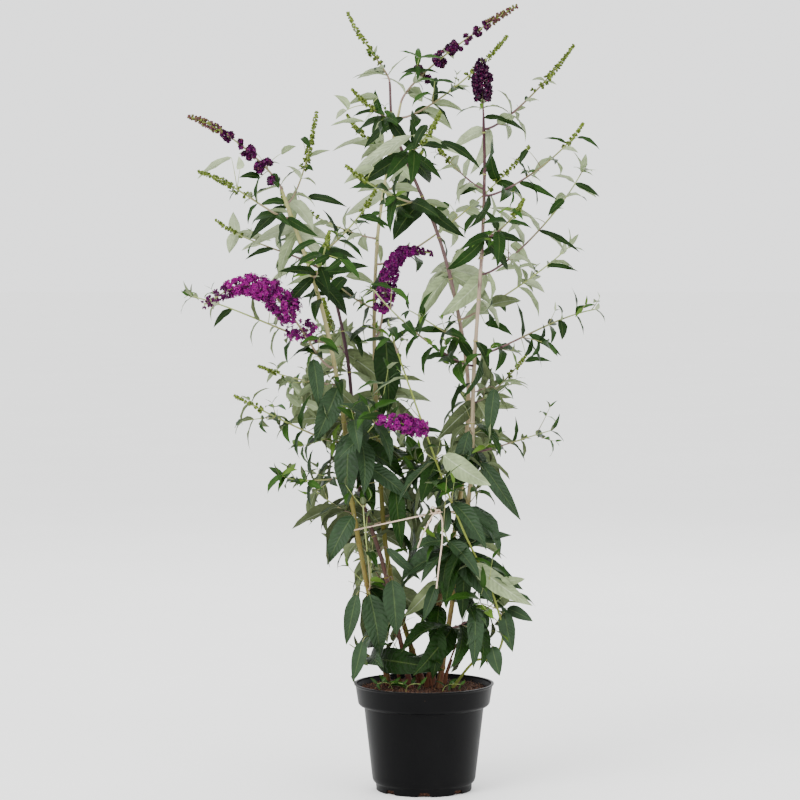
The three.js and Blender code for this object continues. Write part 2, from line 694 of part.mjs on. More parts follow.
// A side twig is skipped in the same way, with its leaves.
function addTwig(mass, twig) {
  const rings = (spare) => [0, 0.5, 1].map((share) => {
    return [share, SIDE_TWIG.radius * (1 - SIDE_TWIG.thins * share) + spare];
  });
  const room = solid(tube(twig.spots, rings(CLEARANCE), TWIG.sides));
  if (!touches(mass.name, room) && fuse(mass, solid(tube(twig.spots, rings(0), TWIG.sides)))) {
    addLeaves(mass, twig.leaves);
  }
}

// A mass without its shortest edges, where that leaves it one closed body.
function plain(body) {
  const tries = SHORT_EDGES.map((length) => body.simplify(length));
  return tries.find((simple) => isClosed(simple) && simple.decompose().length === 1) ?? body;
}

// ---------------------------------------------------------------- the whole plant

const bush = new THREE.Group();
for (const part of [pot(), soil()]) {
  bush.add(part);
  occupy(part.name, solid(part.geometry));
}

const stemLimbs = {};
for (const [name, stem] of Object.entries(STEMS)) {
  stemLimbs[name] = stemLimb(stem);
  const geometry = stemGeometry(stem, stemLimbs[name]);
  bush.add(node(`stem_${name}`, geometry, finish(COLOURS[name] ?? COLOURS.bark, 0.8)));
  occupy(`stem_${name}`, solid(geometry));
}

function lowShoots() {
  return LOW.stems.map((on, i) => {
    const at = LOW.bottom + i * LOW.step;
    const middle = between(stemLimbs[on], shareAt(stemLimbs[on], at)).at;
    const turn = THREE.MathUtils.degToRad(LOW.start + i * LOW.turn);
    const [x, y] = [middle.x + LOW.reach * Math.cos(turn), middle.y + LOW.reach * Math.sin(turn)];
    return { ...LOW_SHOOT, name: `low_shoot_${at}`, on, at, tip: [x, y, at + LOW.climb] };
  });
}

const masses = [...SHOOTS, ...lowShoots()].map((shoot, number) => {
  const spots = shootLimb(shoot, stemLimbs[shoot.on], STEMS[shoot.on]);
  const name = shoot.name ?? `${shoot.on}_shoot_${shoot.at}`;
  return { name, ...growShoot(shoot, spots, number) };
});

// Every shoot's twig and blossom stand first, then leaves take their room, then side twigs.
for (const mass of masses) {
  mass.body = mainBody(mass);
  occupy(mass.name, mass.body);
}
for (const mass of masses) {
  addLeaves(mass, mass.leaves);
}
for (const mass of masses) {
  mass.twigs.forEach((twig) => addTwig(mass, twig));
}
for (const mass of masses) {
  const colour = mass.end && mass.end.radius > FINE ? COLOURS.blossom : COLOURS.leaf;
  bush.add(node(mass.name, geometryOf(plain(mass.body)), finish(colour, 0.7)));
}

export default bush;
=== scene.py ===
from collections import namedtuple
from functools import partial
from math import atan2, copysign, cos, exp, floor, hypot, pi, radians, sin
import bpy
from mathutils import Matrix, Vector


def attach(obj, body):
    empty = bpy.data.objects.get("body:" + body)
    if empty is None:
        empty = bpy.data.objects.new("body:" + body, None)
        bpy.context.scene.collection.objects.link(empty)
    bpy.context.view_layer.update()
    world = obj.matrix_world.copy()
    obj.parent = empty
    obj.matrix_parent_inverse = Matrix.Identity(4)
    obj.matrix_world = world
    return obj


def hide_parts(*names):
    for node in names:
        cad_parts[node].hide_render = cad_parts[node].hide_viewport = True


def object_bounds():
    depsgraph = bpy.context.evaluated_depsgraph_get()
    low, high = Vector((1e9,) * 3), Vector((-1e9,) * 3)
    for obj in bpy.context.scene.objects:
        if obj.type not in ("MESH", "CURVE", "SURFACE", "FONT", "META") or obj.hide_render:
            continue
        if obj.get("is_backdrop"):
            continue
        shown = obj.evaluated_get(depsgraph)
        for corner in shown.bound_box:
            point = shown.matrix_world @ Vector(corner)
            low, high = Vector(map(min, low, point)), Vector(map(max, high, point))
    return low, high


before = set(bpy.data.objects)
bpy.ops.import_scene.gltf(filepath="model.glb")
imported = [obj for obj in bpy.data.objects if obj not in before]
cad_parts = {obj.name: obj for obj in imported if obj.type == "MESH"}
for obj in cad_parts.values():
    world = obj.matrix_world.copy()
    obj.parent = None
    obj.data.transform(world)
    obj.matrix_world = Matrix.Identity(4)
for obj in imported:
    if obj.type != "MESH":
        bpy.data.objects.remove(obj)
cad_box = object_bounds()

from types import SimpleNamespace as Sizes

import bmesh
import bpy
import numpy as np
from mathutils import Vector, noise
from mathutils.bvhtree import BVHTree
from numpy.linalg import norm

# ------------------------------------------------------------
# The camera stands five metres in front of the plant, at the height of its middle, and looks a
# little down, so the compost shows inside the pot's rim.


def added(name, data):
    thing = bpy.data.objects.new(name, data)
    bpy.context.scene.collection.objects.link(thing)
    return thing


eye = added("eye", bpy.data.cameras.new("eye"))
eye.location = (-0.0394, -5.0, 0.92)
eye.rotation_euler = (radians(90 - 3.19), 0, 0)
eye.data.lens = 137.8
eye.data.sensor_width = 36
bpy.context.scene.camera = eye

# ------------------------------------------------------------
# The nursery pot: one moulding of black polypropylene with a deep collar, a thin lip, a tapered
# wall and a stepped foot. Eight notches through the foot let the water out.

MM = 0.001
POT = Sizes(height=176, rim=115, collar_top=112.6, collar_foot=108.6, collar_depth=37, lip=3, wall=1.8,
            body_top=98.6, body_foot=85, foot=79, foot_height=15, floor=2.4)
NOTCH = Sizes(count=8, width=15, flare=4.5, height=7.5)
SHOULDER = POT.height - POT.collar_depth


def tint(red, green, blue):
    """A colour given from 0 to 255 as it is seen, as the light that a shader works with."""
    seen = [channel / 255 for channel in (red, green, blue)]
    return (*(c / 12.92 if c <= 0.04045 else ((c + 0.055) / 1.055) ** 2.4 for c in seen), 1)


class Value:
    """What a node gives. A sum of such values becomes further nodes of their tree."""

    def __init__(self, tree, socket):
        self.tree, self.socket = tree, socket

    def maths(self, operation, *others):
        return self.tree.Math(self, *others, operation=operation)

    def __add__(self, other):
        return self.maths("ADD", other)

    def __sub__(self, other):
        return self.maths("SUBTRACT", other)

    def __rsub__(self, other):
        return self.tree.Math(other, self, operation="SUBTRACT")

    def __mul__(self, other):
        return self.maths("MULTIPLY", other)

    def scaled(self, amount):
        return self.tree.VectorMath(self, Scale=amount, operation="SCALE")

    def moved(self, *others):
        for other in others:
            self = self.tree.VectorMath(self, other, operation="ADD")
        return self


class Tree:
    """A node tree. A kind of node, called on it, adds one: tree.Math(a, b, operation="ADD").

    What stands in order or has a capital is an input, and the rest are settings.
    """

    families = ("ShaderNode",)

    def __init__(self, tree):
        self.tree = tree

    def __getattr__(self, kind):
        names = [family + kind for family in self.families]
        return partial(self.node, next(name for name in names if hasattr(bpy.types, name)))

    def node(self, kind, *values, out=0, at=None, **named):
        node = self.tree.nodes.new(kind)
        inputs = {**dict(enumerate(values)), **(at or {})}
        for name, value in named.items():
            if name[0].islower():
                setattr(node, name, value)
            else:
                inputs[name.replace("_", " ")] = value
        for name, value in inputs.items():
            if isinstance(value, Value):
                self.tree.links.new(value.socket, node.inputs[name])
            else:
                node.inputs[name].default_value = value
        return Value(self, node.outputs[out])

    def grain(self, scale, detail=3.0, roughness=0.55, where=None):
        where = where or self.where
        return self.TexNoise(Vector=where, Scale=scale, Detail=detail, Roughness=roughness)


class Finish(Tree):
    """A new material, placed by its body's own coordinates."""

    def __init__(self, name, roughness, specular=0.5):
        self.material = bpy.data.materials.new(name)
        self.material.use_nodes = True
        super().__init__(self.material.node_tree)
        self.shader = self.tree.nodes["Principled BSDF"].inputs
        self.shader["Roughness"].default_value = roughness
        self.shader["Specular IOR Level"].default_value = specular
        self.where = self.TexCoord(out="Object")

    def feed(self, name, value):
        self.tree.links.new(value.socket, self.shader[name])

    def ramp(self, factor, *stops):
        """Colours along a factor, each stop a place and then a colour."""
        ramp = self.ValToRGB(factor)
        bar = ramp.socket.node.color_ramp.elements
        while len(bar) < len(stops):
            bar.new(0.5)
        for element, (place, *shade) in zip(bar, stops):
            element.position = place
            element.color = tint(*shade) if len(shade) == 3 else shade
        return ramp

    def colour(self, factor, *stops):
        self.feed("Base Color", self.ramp(factor, *stops))

    def relief(self, height, depth, strength=1.0):
        """Bumps of a depth in metres."""
        self.feed("Normal", self.Bump(Height=height, Distance=depth, Strength=strength))


def rounded(outline, radius, steps=3):
    """An outline with each inner corner cut to a small curve."""
    corners = [np.array(corner, float) for corner in outline]
    soft = [corners[0]]
    for before, corner, after in zip(corners, corners[1:], corners[2:]):
        back, on = before - corner, after - corner
        cut = min(radius, 0.45 * norm(back), 0.45 * norm(on))
        start = corner + back / norm(back) * cut
        stop = corner + on / norm(on) * cut
        for t in np.arange(steps + 1) / steps:
            soft.append((1 - t) ** 2 * start + 2 * t * (1 - t) * corner + t * t * stop)
    return soft + [corners[-1]]


def shape(name, points, faces, sharp=None):
    """A mesh object from points in millimetres, its faces turned outwards."""
    mesh = bpy.data.meshes.new(name)
    mesh.from_pydata((np.asarray(points, float) * MM).tolist(), [], faces)
    work = bmesh.new()
    work.from_mesh(mesh)
    bmesh.ops.recalc_face_normals(work, faces=work.faces)
    work.to_mesh(mesh)
    work.free()
    mesh.shade_smooth()
    if sharp is not None:
        mesh.set_sharp_from_angle(angle=radians(sharp))
    return added(name, mesh)


def lathe(name, outline, around, sharp=None):
    """A closed body turned from an outline that starts and ends on the axis."""
    points = [(0, 0, outline[0][1])]
    for radius, height in outline[1:-1]:
        angles = np.arange(around) * 2 * pi / around
        points += [(radius * sin(a), -radius * cos(a), height) for a in angles]
    points.append((0, 0, outline[-1][1]))
    last = len(points) - 1
    faces = []
    for k in range(around):
        after = (k + 1) % around
        faces.append((0, 1 + after, 1 + k))
        for low in range(1, last - around, around):
            high = low + around
            faces.append((low + k, low + after, high + after, high + k))
        faces.append((last, last - around + k, last - around + after))
    return shape(name, points, faces, sharp)


def notch_cutters():
    """Flared wedges that stand through the foot ring, as one mesh."""
    half, top = NOTCH.width / 2, NOTCH.height
    low = half + NOTCH.flare
    profile = [(-low, -2), (low, -2), (low - 1, 0.6), (half, top - 0.8), (half - 1, top), (1 - half, top),
               (-half, top - 0.8), (1 - low, 0.6)]
    count = len(profile)
    points, faces = [], []
    for turn in np.arange(NOTCH.count) * 2 * pi / NOTCH.count:
        sine, cosine, base = sin(turn), cos(turn), len(points)
        for depth in (POT.foot - 10, POT.foot + 8):
            points += [(x * cosine + depth * sine, x * sine - depth * cosine, z) for x, z in profile]
        near, far = range(base, base + count), range(base + count, base + 2 * count)
        faces += [list(near), list(reversed(far))]
        faces += [(near[k - 1], far[k - 1], far[k], near[k]) for k in [*range(1, count), 0]]
    return shape("notch cutters", points, faces)


def pot_outline():
    outer = [
        (0, 0), (POT.foot, 0), (POT.foot, POT.foot_height - 4), (POT.body_foot - 1.5, POT.foot_height),
        (POT.body_foot, POT.foot_height + 5), (POT.body_top, SHOULDER - 0.5),
        (POT.collar_foot - 4.5, SHOULDER), (POT.collar_foot - 0.4, SHOULDER + 4),
        (POT.collar_top, POT.height - POT.lip - 1), (POT.rim, POT.height - POT.lip + 1.2),
        (POT.rim, POT.height),
    ]
    inner = [
        (POT.collar_top, POT.height), (POT.collar_top, POT.height - POT.lip), (POT.body_top, SHOULDER + 2),
        (POT.body_foot, POT.foot_height + 1.3), (POT.foot, POT.foot_height - 0.7), (POT.foot, POT.floor),
    ]
    inner = [(radius - POT.wall, height) for radius, height in inner]
    return rounded(outer, 2.2) + rounded([*inner, (0, POT.floor)], 0.8)


def meshed(thing):
    """The plain mesh that a thing's modifiers make of it."""
    graph = bpy.context.evaluated_depsgraph_get()
    return bpy.data.meshes.new_from_object(thing.evaluated_get(graph), depsgraph=graph)


def worn(piece, slot, *nodes):
    """Sets a piece on the root body and hides the nodes that it stands for; its slot is not used."""
    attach(piece, "root")
    if nodes:
        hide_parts(*nodes)


pot = lathe("nursery_pot", pot_outline(), around=192, sharp=40)
cutters = notch_cutters()
cut = pot.modifiers.new("notches", "BOOLEAN")
cut.operation = "DIFFERENCE"
cut.object = cutters
cut.solver = "EXACT"
notched = meshed(pot)
pot.modifiers.clear()
pot.data = notched
bpy.data.objects.remove(cutters)
pot.data.set_sharp_from_angle(angle=radians(40))

plastic = Finish("black_polypropylene", 0.46, 0.06)
film = plastic.grain(9.0, 4.0)
plastic.colour(film, (0.35, 6, 6, 7), (0.62, 10, 10, 11), (0.8, 20, 19, 18))
plastic.feed("Roughness", plastic.MapRange(Value=film, To_Min=0.32, To_Max=0.5))
plastic.relief(plastic.grain(900.0, 2.0), 0.00008, 0.5)
pot.data.materials.append(plastic.material)
worn(pot, "pot", "pot")

# ------------------------------------------------------------
# The compost: moist dark peat and composted bark, filled to just under the lip and settled a
# little at the wall. Loose crumbs and fibres of coir and bark lie on it.

SOIL = Sizes(top=170, edge=165, level=62, wall_gap=0.8, rings=46, around=160)


def compost_outline():
    inside = POT.wall + SOIL.wall_gap
    edge = POT.collar_foot + 2.2 - inside
    side = [
        (0, POT.floor + 0.3), (POT.foot - inside, POT.floor + 0.3),
        (POT.foot - inside, POT.foot_height + 0.2), (POT.body_foot - inside, POT.foot_height + 2.4),
        (POT.body_top - inside - 0.6, SHOULDER + 3), (edge, SOIL.edge - 1),
    ]
    for k in range(SOIL.rings):
        radius = edge * (1 - (k + 0.3) / SOIL.rings)
        fall = max(0, (radius - SOIL.level) / (edge - SOIL.level))
        side.append((radius, SOIL.top + (SOIL.edge - SOIL.top) * fall**1.6))
    return [*side, (0, SOIL.top)]


compost = lathe("compost", compost_outline(), SOIL.around)
for vertex in compost.data.vertices:
    spread = hypot(vertex.co.x, vertex.co.y) / MM
    if vertex.co.z > (SOIL.edge - 0.5) * MM and spread < POT.collar_foot - 1.5:
        lumps = noise.fractal(vertex.co * 60, 0.8, 2.2, 4) * 1.9
        clods = max(0, noise.noise(vertex.co * 130 + Vector((3, 7, 1)))) * 2.4
        vertex.co.z += (lumps + clods) * MM

peat = Finish("moist_compost", 0.92, 0.08)
clumps = peat.grain(55.0, 6.0, 0.7)
specks = peat.TexVoronoi(Vector=peat.where, Scale=330.0)
peat.colour(specks * 0.5 + (clumps - 0.15), (0.28, 20, 13, 11), (0.5, 44, 29, 23), (0.68, 70, 46, 36),
            (0.9, 100, 72, 54))
peat.relief(clumps + specks, 0.002, 0.9)
compost.data.materials.append(peat.material)
worn(compost, "soil", "soil")


class Growth(Tree):
    """A Geometry Nodes tree with named inputs, given as their kinds, and what comes in by each."""

    families = ("GeometryNode", "FunctionNode", "ShaderNode")

    def __init__(self, name, **inputs):
        super().__init__(bpy.data.node_groups.new(name, "GeometryNodeTree"))
        face = self.tree.interface
        face.new_socket("Geometry", in_out="OUTPUT", socket_type="NodeSocketGeometry")
        for label, kind in {"Geometry": "Geometry", **inputs}.items():
            face.new_socket(label.replace("_", " "), in_out="INPUT", socket_type="NodeSocket" + kind)
        given = self.tree.nodes.new("NodeGroupInput").outputs
        self.given = Sizes(**{s.name.replace(" ", "_"): Value(self, s) for s in given if s.name})

    def own(self, name, kind="FLOAT"):
        """A named value of the points that the tree works on."""
        return self.InputNamedAttribute(Name=name, data_type=kind)

    def strewn(self, thing, **how):
        """One thing on each point that comes in, as real geometry."""
        thing = self.ObjectInfo(Object=getattr(self.given, thing), out="Geometry")
        return self.InstanceOnPoints(Instance=thing, **how)

    def real(self, geometry):
        return self.RealizeInstances(Geometry=geometry)

    def dressed(self, geometry, finish, **how):
        return self.SetMaterial(Geometry=geometry, Material=finish, **how)

    def close(self, geometry):
        self.tree.links.new(geometry.socket, self.tree.nodes.new("NodeGroupOutput").inputs[0])


def made_by(growth, source, name, keep=False, **values):
    """The plain mesh that a tree makes of a source, which then goes unless it is kept."""
    step = source.modifiers.new("tree", "NODES")
    step.node_group = growth.tree
    for item in growth.tree.interface.items_tree:
        label = item.name.replace(" ", "_")
        if item.in_out == "INPUT" and label in values:
            step[item.identifier] = values[label]
    mesh = meshed(source)
    source.modifiers.remove(step)
    if not keep:
        bpy.data.objects.remove(source)
    return added(name, mesh)


# One crumb is scattered over the compost's open top, each turned and sized by chance.
scatter = Growth("scattered crumbs", Crumb="Object", Finish="Material", Density="Float", Seed="Int",
                 Smallest="Float", Largest="Float")
given = scatter.given
up = scatter.SeparateXYZ(scatter.InputNormal(), out="Z")
height = scatter.SeparateXYZ(scatter.InputPosition(), out="Z")
open_top = up.maths("GREATER_THAN", 0.5) * height.maths("GREATER_THAN", 0.16)
spots = scatter.DistributePointsOnFaces(Mesh=given.Geometry, Selection=open_top, Density=given.Density,
                                        Seed=given.Seed)
turn = scatter.RandomValue(Min=(0, 0, 0), Max=(6.28, 6.28, 6.28), Seed=5, data_type="FLOAT_VECTOR")
size = scatter.RandomValue(at={2: given.Smallest, 3: given.Largest}, out=1)
strewn = scatter.strewn("Crumb", Points=spots, Rotation=turn, Scale=size)
scatter.close(scatter.dressed(scatter.real(strewn), given.Finish))


def crumb(name, long, wide, bend):
    """A knobbly bit, long and thin for a fibre; its size is in millimetres."""
    work = bmesh.new()
    bmesh.ops.create_icosphere(work, subdivisions=1, radius=1)
    for vertex in work.verts:
        rough = 1 + 0.35 * noise.noise(vertex.co * 2.3 + Vector((long, wide, 0)))
        x = vertex.co.x * long * rough
        y = vertex.co.y * wide * rough + bend * (vertex.co.x**2)
        vertex.co = Vector((x, y, vertex.co.z * wide * rough)) * MM
    mesh = bpy.data.meshes.new(name)
    work.to_mesh(mesh)
    work.free()
    return bpy.data.objects.new(name, mesh)


for name, form, dark, light, density, seed, sizes in (
    ("compost_crumbs", ("crumb", 1.9, 1.4, 0), (32, 21, 17), (66, 43, 34), 42000.0, 3, (0.45, 1.35)),
    ("bark_chips", ("chip", 3.6, 1.3, 0), (72, 48, 36), (106, 74, 54), 7000.0, 8, (0.5, 1.2)),
    ("coir_fibres", ("fibre", 7.5, 0.28, 2.5), (104, 76, 54), (136, 106, 78), 5200.0, 21, (0.5, 1.2)),
):
    dull = Finish(name, 0.9, 0.2)
    dull.colour(dull.grain(120.0), (0.35, *dark), (0.65, *light))
    litter = made_by(scatter, compost, name, keep=True, Crumb=crumb(*form), Finish=dull.material,
                     Density=density, Seed=seed, Smallest=sizes[0], Largest=sizes[1])
    worn(litter, "soil")

# ------------------------------------------------------------
# The canes: six stems grown out again from one cut-back crown. They are smooth and nearly round,
# brown at the foot and tan or purple-brown above, with a raised ring at every node.

GAP = 0.3
FOOT = SOIL.top + GAP
UP = np.array((0.0, 0.0, 1.0))
BACK = np.array((0.0, 1.0, 0.0))
Cane = namedtuple("Cane", "foot top slot path")
CANES = {
    "left": Cane(4.4, 3, "bark", [
        (-58, 12, FOOT), (-92, 4, 330), (-122, -4, 500), (-133, -14, 620), (-167, -30, 795),
        (-230, -52, 984)]),
    "dark": Cane(4, 2.2, "dark_bark", [
        (-22, -18, FOOT), (-66, 2, 366), (-107, 28, 500), (-124, 54, 690), (-148, 84, 808), (-170, 96, 850)]),
    "middle": Cane(4.4, 2.2, "bark", [
        (-2, 24, FOOT), (-56, 36, 354), (-73, 52, 527), (-82, 78, 720), (-78, 100, 890), (-62, 116, 1012),
        (-38, 118, 1130)]),
    "right": Cane(4.4, 2, "bark", [
        (12, 4, FOOT), (28, 12, 324), (57, 20, 460), (73, 20, 640), (58, 2, 770), (26, -26, 900),
        (-20, -52, 1010), (-50, -64, 1085), (-56, -66, 1156)]),
    "tall": Cane(4.4, 2.2, "dark_bark", [
        (24, -24, FOOT), (50, -34, 340), (75, -44, 510), (80, -54, 690), (92, -70, 880), (96, -82, 1010),
        (94, -90, 1098)]),
    "green": Cane(2.3, 1.4, "green_bark", [
        (46, -22, FOOT), (82, -34, 216), (112, -50, 224), (127, -66, 265), (107, -84, 341), (61, -100, 440),
        (15, -106, 558), (-43, -98, 722)]),
}
CANE = Sizes(steps=18, corners=5, flare=0.35, flare_over=0.06, sunk=9, grain=5, tip=1.9, tip_over=0.02)
NODE = Sizes(first=204, spacing=67, higher=11, swell=0.24, half=2.6, ring=1.5)

Spot = namedtuple("Spot", "at along side over")


def unit(vector):
    return vector / norm(vector)


def smooth_through(places):
    """A curve through places, as a function of its share from 0 to 1."""
    places = [np.array(place, float) for place in places]
    ends = [2 * places[0] - places[1], *places, 2 * places[-1] - places[-2]]

    def at(share):
        k = min(int(share * (len(places) - 1)), len(places) - 2)
        t = share * (len(places) - 1) - k
        a, b, c, d = ends[k : k + 4]
        leave, arrive = (c - a) / 2, (d - b) / 2
        lean = 3 * (c - b) - 2 * leave - arrive
        return b + t * leave + t**2 * lean + t**3 * (2 * (b - c) + leave + arrive)

    return at


def limb(curve, steps):
    """Places along a curve at even steps, with a sideways direction carried on untwisted."""
    spots, side, glance, steep = [], None, 0.01, 0.9
    for t in np.arange(steps + 1) / steps:
        along = unit(curve(min(1, t + glance)) - curve(max(0, t - glance)))
        if side is None:
            side = np.cross(along, BACK if abs(along[2]) > steep else UP)
        side = unit(side - along * side.dot(along))
        spots.append(Spot(curve(t), along, side, np.cross(side, along)))
    return spots


def between(spots, share):
    """The place and directions at a share of a limb's way."""
    place = min(1, max(0, share)) * (len(spots) - 1)
    k = min(len(spots) - 2, int(place))
    a, b = spots[k], spots[k + 1]
    along = unit(a.along + (b.along - a.along) * (place - k))
    side = unit(a.side - along * a.side.dot(along))
    return Spot(a.at + (b.at - a.at) * (place - k), along, side, np.cross(side, along))


def traced(curve, count):
    return [curve(t) for t in np.linspace(0, 1, count)]


curves = {name: smooth_through(cane.path) for name, cane in CANES.items()}
cane_spots = {name: limb(curve, CANE.steps) for name, curve in curves.items()}


def cane_radius(name, share):
    cane = CANES[name]
    flare = CANE.flare * cane.foot * max(0, 1 - share / CANE.flare_over)
    return cane.foot + (cane.top - cane.foot) * share + flare


def share_at(name, height):
    """Where a cane first comes to a height, as a share of its way."""
    heights = [spot.at[2] for spot in cane_spots[name]]
    last = len(heights) - 1
    best = next((k for k in range(1, last) if heights[k] >= height), last)
    low, high = heights[best - 1], heights[best]
    return (best - 1 + min(1, (height - low) / (high - low))) / last


def cane_at(name, height):
    return between(cane_spots[name], share_at(name, height))


def node_heights(name):
    """The heights of a cane's nodes, those of its neighbours being a little higher or lower."""
    start = NODE.first + NODE.higher * (list(CANES).index(name) % 4)
    return range(start, int(CANES[name].path[-1][2]) - 12, NODE.spacing)


def things(places, lines=(), **values):
    """Bare points in millimetres, joined by lines where these are given, with named values."""
    mesh = bpy.data.meshes.new("points")
    mesh.from_pydata((np.array(places) * MM).tolist(), list(lines), [])
    for label, rows in values.items():
        rows = np.array(rows, float)
        kind, field = ("FLOAT_VECTOR", "vector") if rows.ndim == 2 else ("FLOAT", "value")
        mesh.attributes.new(label, kind, "POINT").data.foreach_set(field, rows.ravel())
    return added("points", mesh)


# A round skin along lines, as thick as their girth says, with its rings in a second finish.
skin = Growth("skin along a line", Sides="Int", Relief="Float", Finish="Material", Ring_Finish="Material")
given = skin.given
line = skin.MeshToCurve(Mesh=given.Geometry)
circle = skin.CurvePrimitiveCircle(Resolution=given.Sides, Radius=1.0)
tube = skin.CurveToMesh(Curve=line, Profile_Curve=circle, Scale=skin.own("girth"), Fill_Caps=True)
bumps = (skin.grain(160.0, where=skin.InputPosition()) - 0.5) * given.Relief
push = skin.InputNormal().scaled(bumps)
tube = skin.SetPosition(Geometry=tube, Offset=push)
tube = skin.dressed(skin.real(skin.SetShadeSmooth(Geometry=tube)), given.Finish)
ringed = skin.own("ring").maths("GREATER_THAN", 0.5)
skin.close(skin.dressed(tube, given.Ring_Finish, Selection=ringed))


def skinned(name, strands, girths, sides, relief, bark, rings=None, ringed=0.0, **values):
    """A round skin along strands of places; its girths and its other values stand one to a place."""
    places = [place for strand in strands for place in strand]
    ends = set(np.cumsum([len(strand) for strand in strands]))
    lines = [(k - 1, k) for k in range(1, len(places)) if k not in ends]
    girth, ring = (np.broadcast_to(value, len(places)) for value in (np.array(girths) * MM, ringed))
    line = things(places, lines, girth=girth, ring=ring, **values)
    return made_by(skin, line, name, Sides=sides, Relief=relief, Finish=bark, Ring_Finish=rings or bark)


def bark_finish(name, roughness, *stops):
    """Bark that changes in colour up the plant, with streaks along it and small pores."""
    bark = Finish(name, roughness, 0.16)
    height = bark.SeparateXYZ(bark.where, out="Z")
    share = bark.MapRange(Value=height, From_Min=0.17, From_Max=1.15)
    drawn = bark.Mapping(Vector=bark.where, Scale=(1.0, 1.0, 0.12))
    streaks = bark.grain(420.0, 5.0, 0.65, where=drawn) - 0.5
    blotches = bark.grain(45.0, 4.0) - 0.5
    shade = bark.ramp(share + (streaks * 0.5 + blotches * 0.35), *stops)
    pores = bark.TexVoronoi(Vector=drawn, Scale=900.0)
    dark = bark.MapRange(Value=pores, From_Max=0.25, To_Min=0.55, To_Max=0.84)
    bark.feed("Base Color", shade.scaled(dark))
    bark.relief(streaks + dark, 0.0004, 0.6)
    return bark.material


RED_FOOT = (0.0, 96, 54, 42)
BARKS = {
    "left": ("straw_bark", 0.62, RED_FOOT, (0.14, 116, 100, 48), (0.34, 132, 124, 66), (0.6, 164, 156, 112),
             (0.9, 156, 158, 96)),
    "dark": ("plum_bark", 0.56, RED_FOOT, (0.2, 88, 66, 58), (0.5, 66, 42, 50), (0.8, 78, 54, 60)),
    "middle": ("olive_bark", 0.62, RED_FOOT, (0.14, 108, 106, 40), (0.4, 118, 112, 62), (0.6, 148, 136, 104),
               (0.85, 170, 166, 118)),
    "right": ("lilac_bark", 0.6, RED_FOOT, (0.3, 146, 132, 88), (0.5, 158, 140, 116), (0.68, 108, 86, 84),
              (0.95, 88, 66, 68)),
    "tall": ("pale_bark", 0.6, RED_FOOT, (0.2, 124, 116, 62), (0.42, 166, 152, 120), (0.68, 156, 136, 122),
             (0.82, 80, 52, 56), (0.95, 66, 38, 46)),
    "green": ("green_bark", 0.55, (0.0, 110, 118, 52), (0.5, 128, 142, 62), (1.0, 140, 156, 80)),
}
node_finish = bark_finish("node_rings", 0.7, (0.0, 112, 84, 50), (0.3, 134, 130, 62), (0.6, 146, 146, 74),
                          (1.0, 146, 152, 84))
for name, cane in CANES.items():
    curve, even = curves[name], np.linspace(0, 1, 600)
    path = np.array(traced(curve, len(even)))
    run = np.concatenate([[0], np.cumsum(norm(np.diff(path, axis=0), axis=1))])
    rings = np.interp(list(node_heights(name)), path[:, 2], run)
    near = np.array((-2, -1.1, -0.6, -0.25, 0.25, 0.6, 1.1, 2)) * NODE.half
    even_stops = np.arange(0, run[-1], CANE.grain)
    stops = np.sort(np.concatenate([even_stops, [run[-1]], *(ring + near for ring in rings)]))
    places, girths, ringed = [curve(0) - UP * CANE.sunk], [cane_radius(name, 0) * 1.15], [0]
    for stop in stops[(stops >= 0) & (stops <= run[-1])]:
        share = np.interp(stop, run, even)
        off = np.abs(rings - stop).min()
        thin = min(1, (1 - share) / CANE.tip_over)
        radius = cane_radius(name, share)
        radius = min(radius, CANE.tip) * (1 - thin) + radius * thin
        places.append(curve(share))
        girths.append(radius * (1 + NODE.swell * exp(-((off / NODE.half) ** 2))))
        ringed.append(off < NODE.ring)
    bark = bark_finish(*BARKS[name])
    piece = skinned(f"cane_{name}", [places], girths, sides=16, relief=0.0011, bark=bark,
                    rings=node_finish, ringed=ringed)
    worn(piece, cane.slot, f"stem_{name}")

# ------------------------------------------------------------
# Stubs at the crown: the cut-off ends of last year's canes and a few thin dead shoots, brown and
# dry, which stand a little out of the compost among the live canes.

# Each stub's foot, its lean, its length and its radius.
STUBS = [(-38, -8, -0.25, -0.1, 46, 3.1), (4, -18, 0.12, -0.2, 30, 3.6), (-8, 2, -0.45, -0.15, 88, 1.5),
         (30, -6, 0.35, 0.1, 74, 1.7), (14, -34, -0.3, -0.25, 58, 1.3), (-24, 24, -0.1, 0.4, 52, 2.4),
         (34, 20, 0.3, 0.3, 40, 2.8)]
STUB_STEPS = 9
strands, girths = [], []
for x, y, lean_x, lean_y, length, radius in STUBS:
    strands.append([])
    for k, share in enumerate(np.linspace(0, 1, STUB_STEPS)):
        rise = share * (length + CANE.sunk) - CANE.sunk
        lean = rise * (0.6 + 0.4 * share)
        strands[-1].append((x + lean_x * lean, y + lean_y * lean, SOIL.top + rise))
        girths.append(radius * (1 - 0.25 * share) * (1.2 if k in (3, 6) else 1))
cut_ends = [float(k == STUB_STEPS - 1) for k in range(STUB_STEPS)] * len(STUBS)
old_wood = bark_finish("dead_wood", 0.8, (0.0, 98, 60, 42), (1.0, 120, 86, 62))
cut_wood = bark_finish("cut_wood", 0.8, (0.0, 176, 150, 112), (1.0, 160, 130, 96))
stubs = skinned("cut_stubs", strands, girths, sides=10, relief=0.0008, bark=old_wood, rings=cut_wood,
                ringed=cut_ends)
worn(stubs, "bark")

# ------------------------------------------------------------
# The tie: one strand of pale raffia round five canes, knotted at the front, with its two ends
# left hanging. It holds the canes together on their way to the shop.

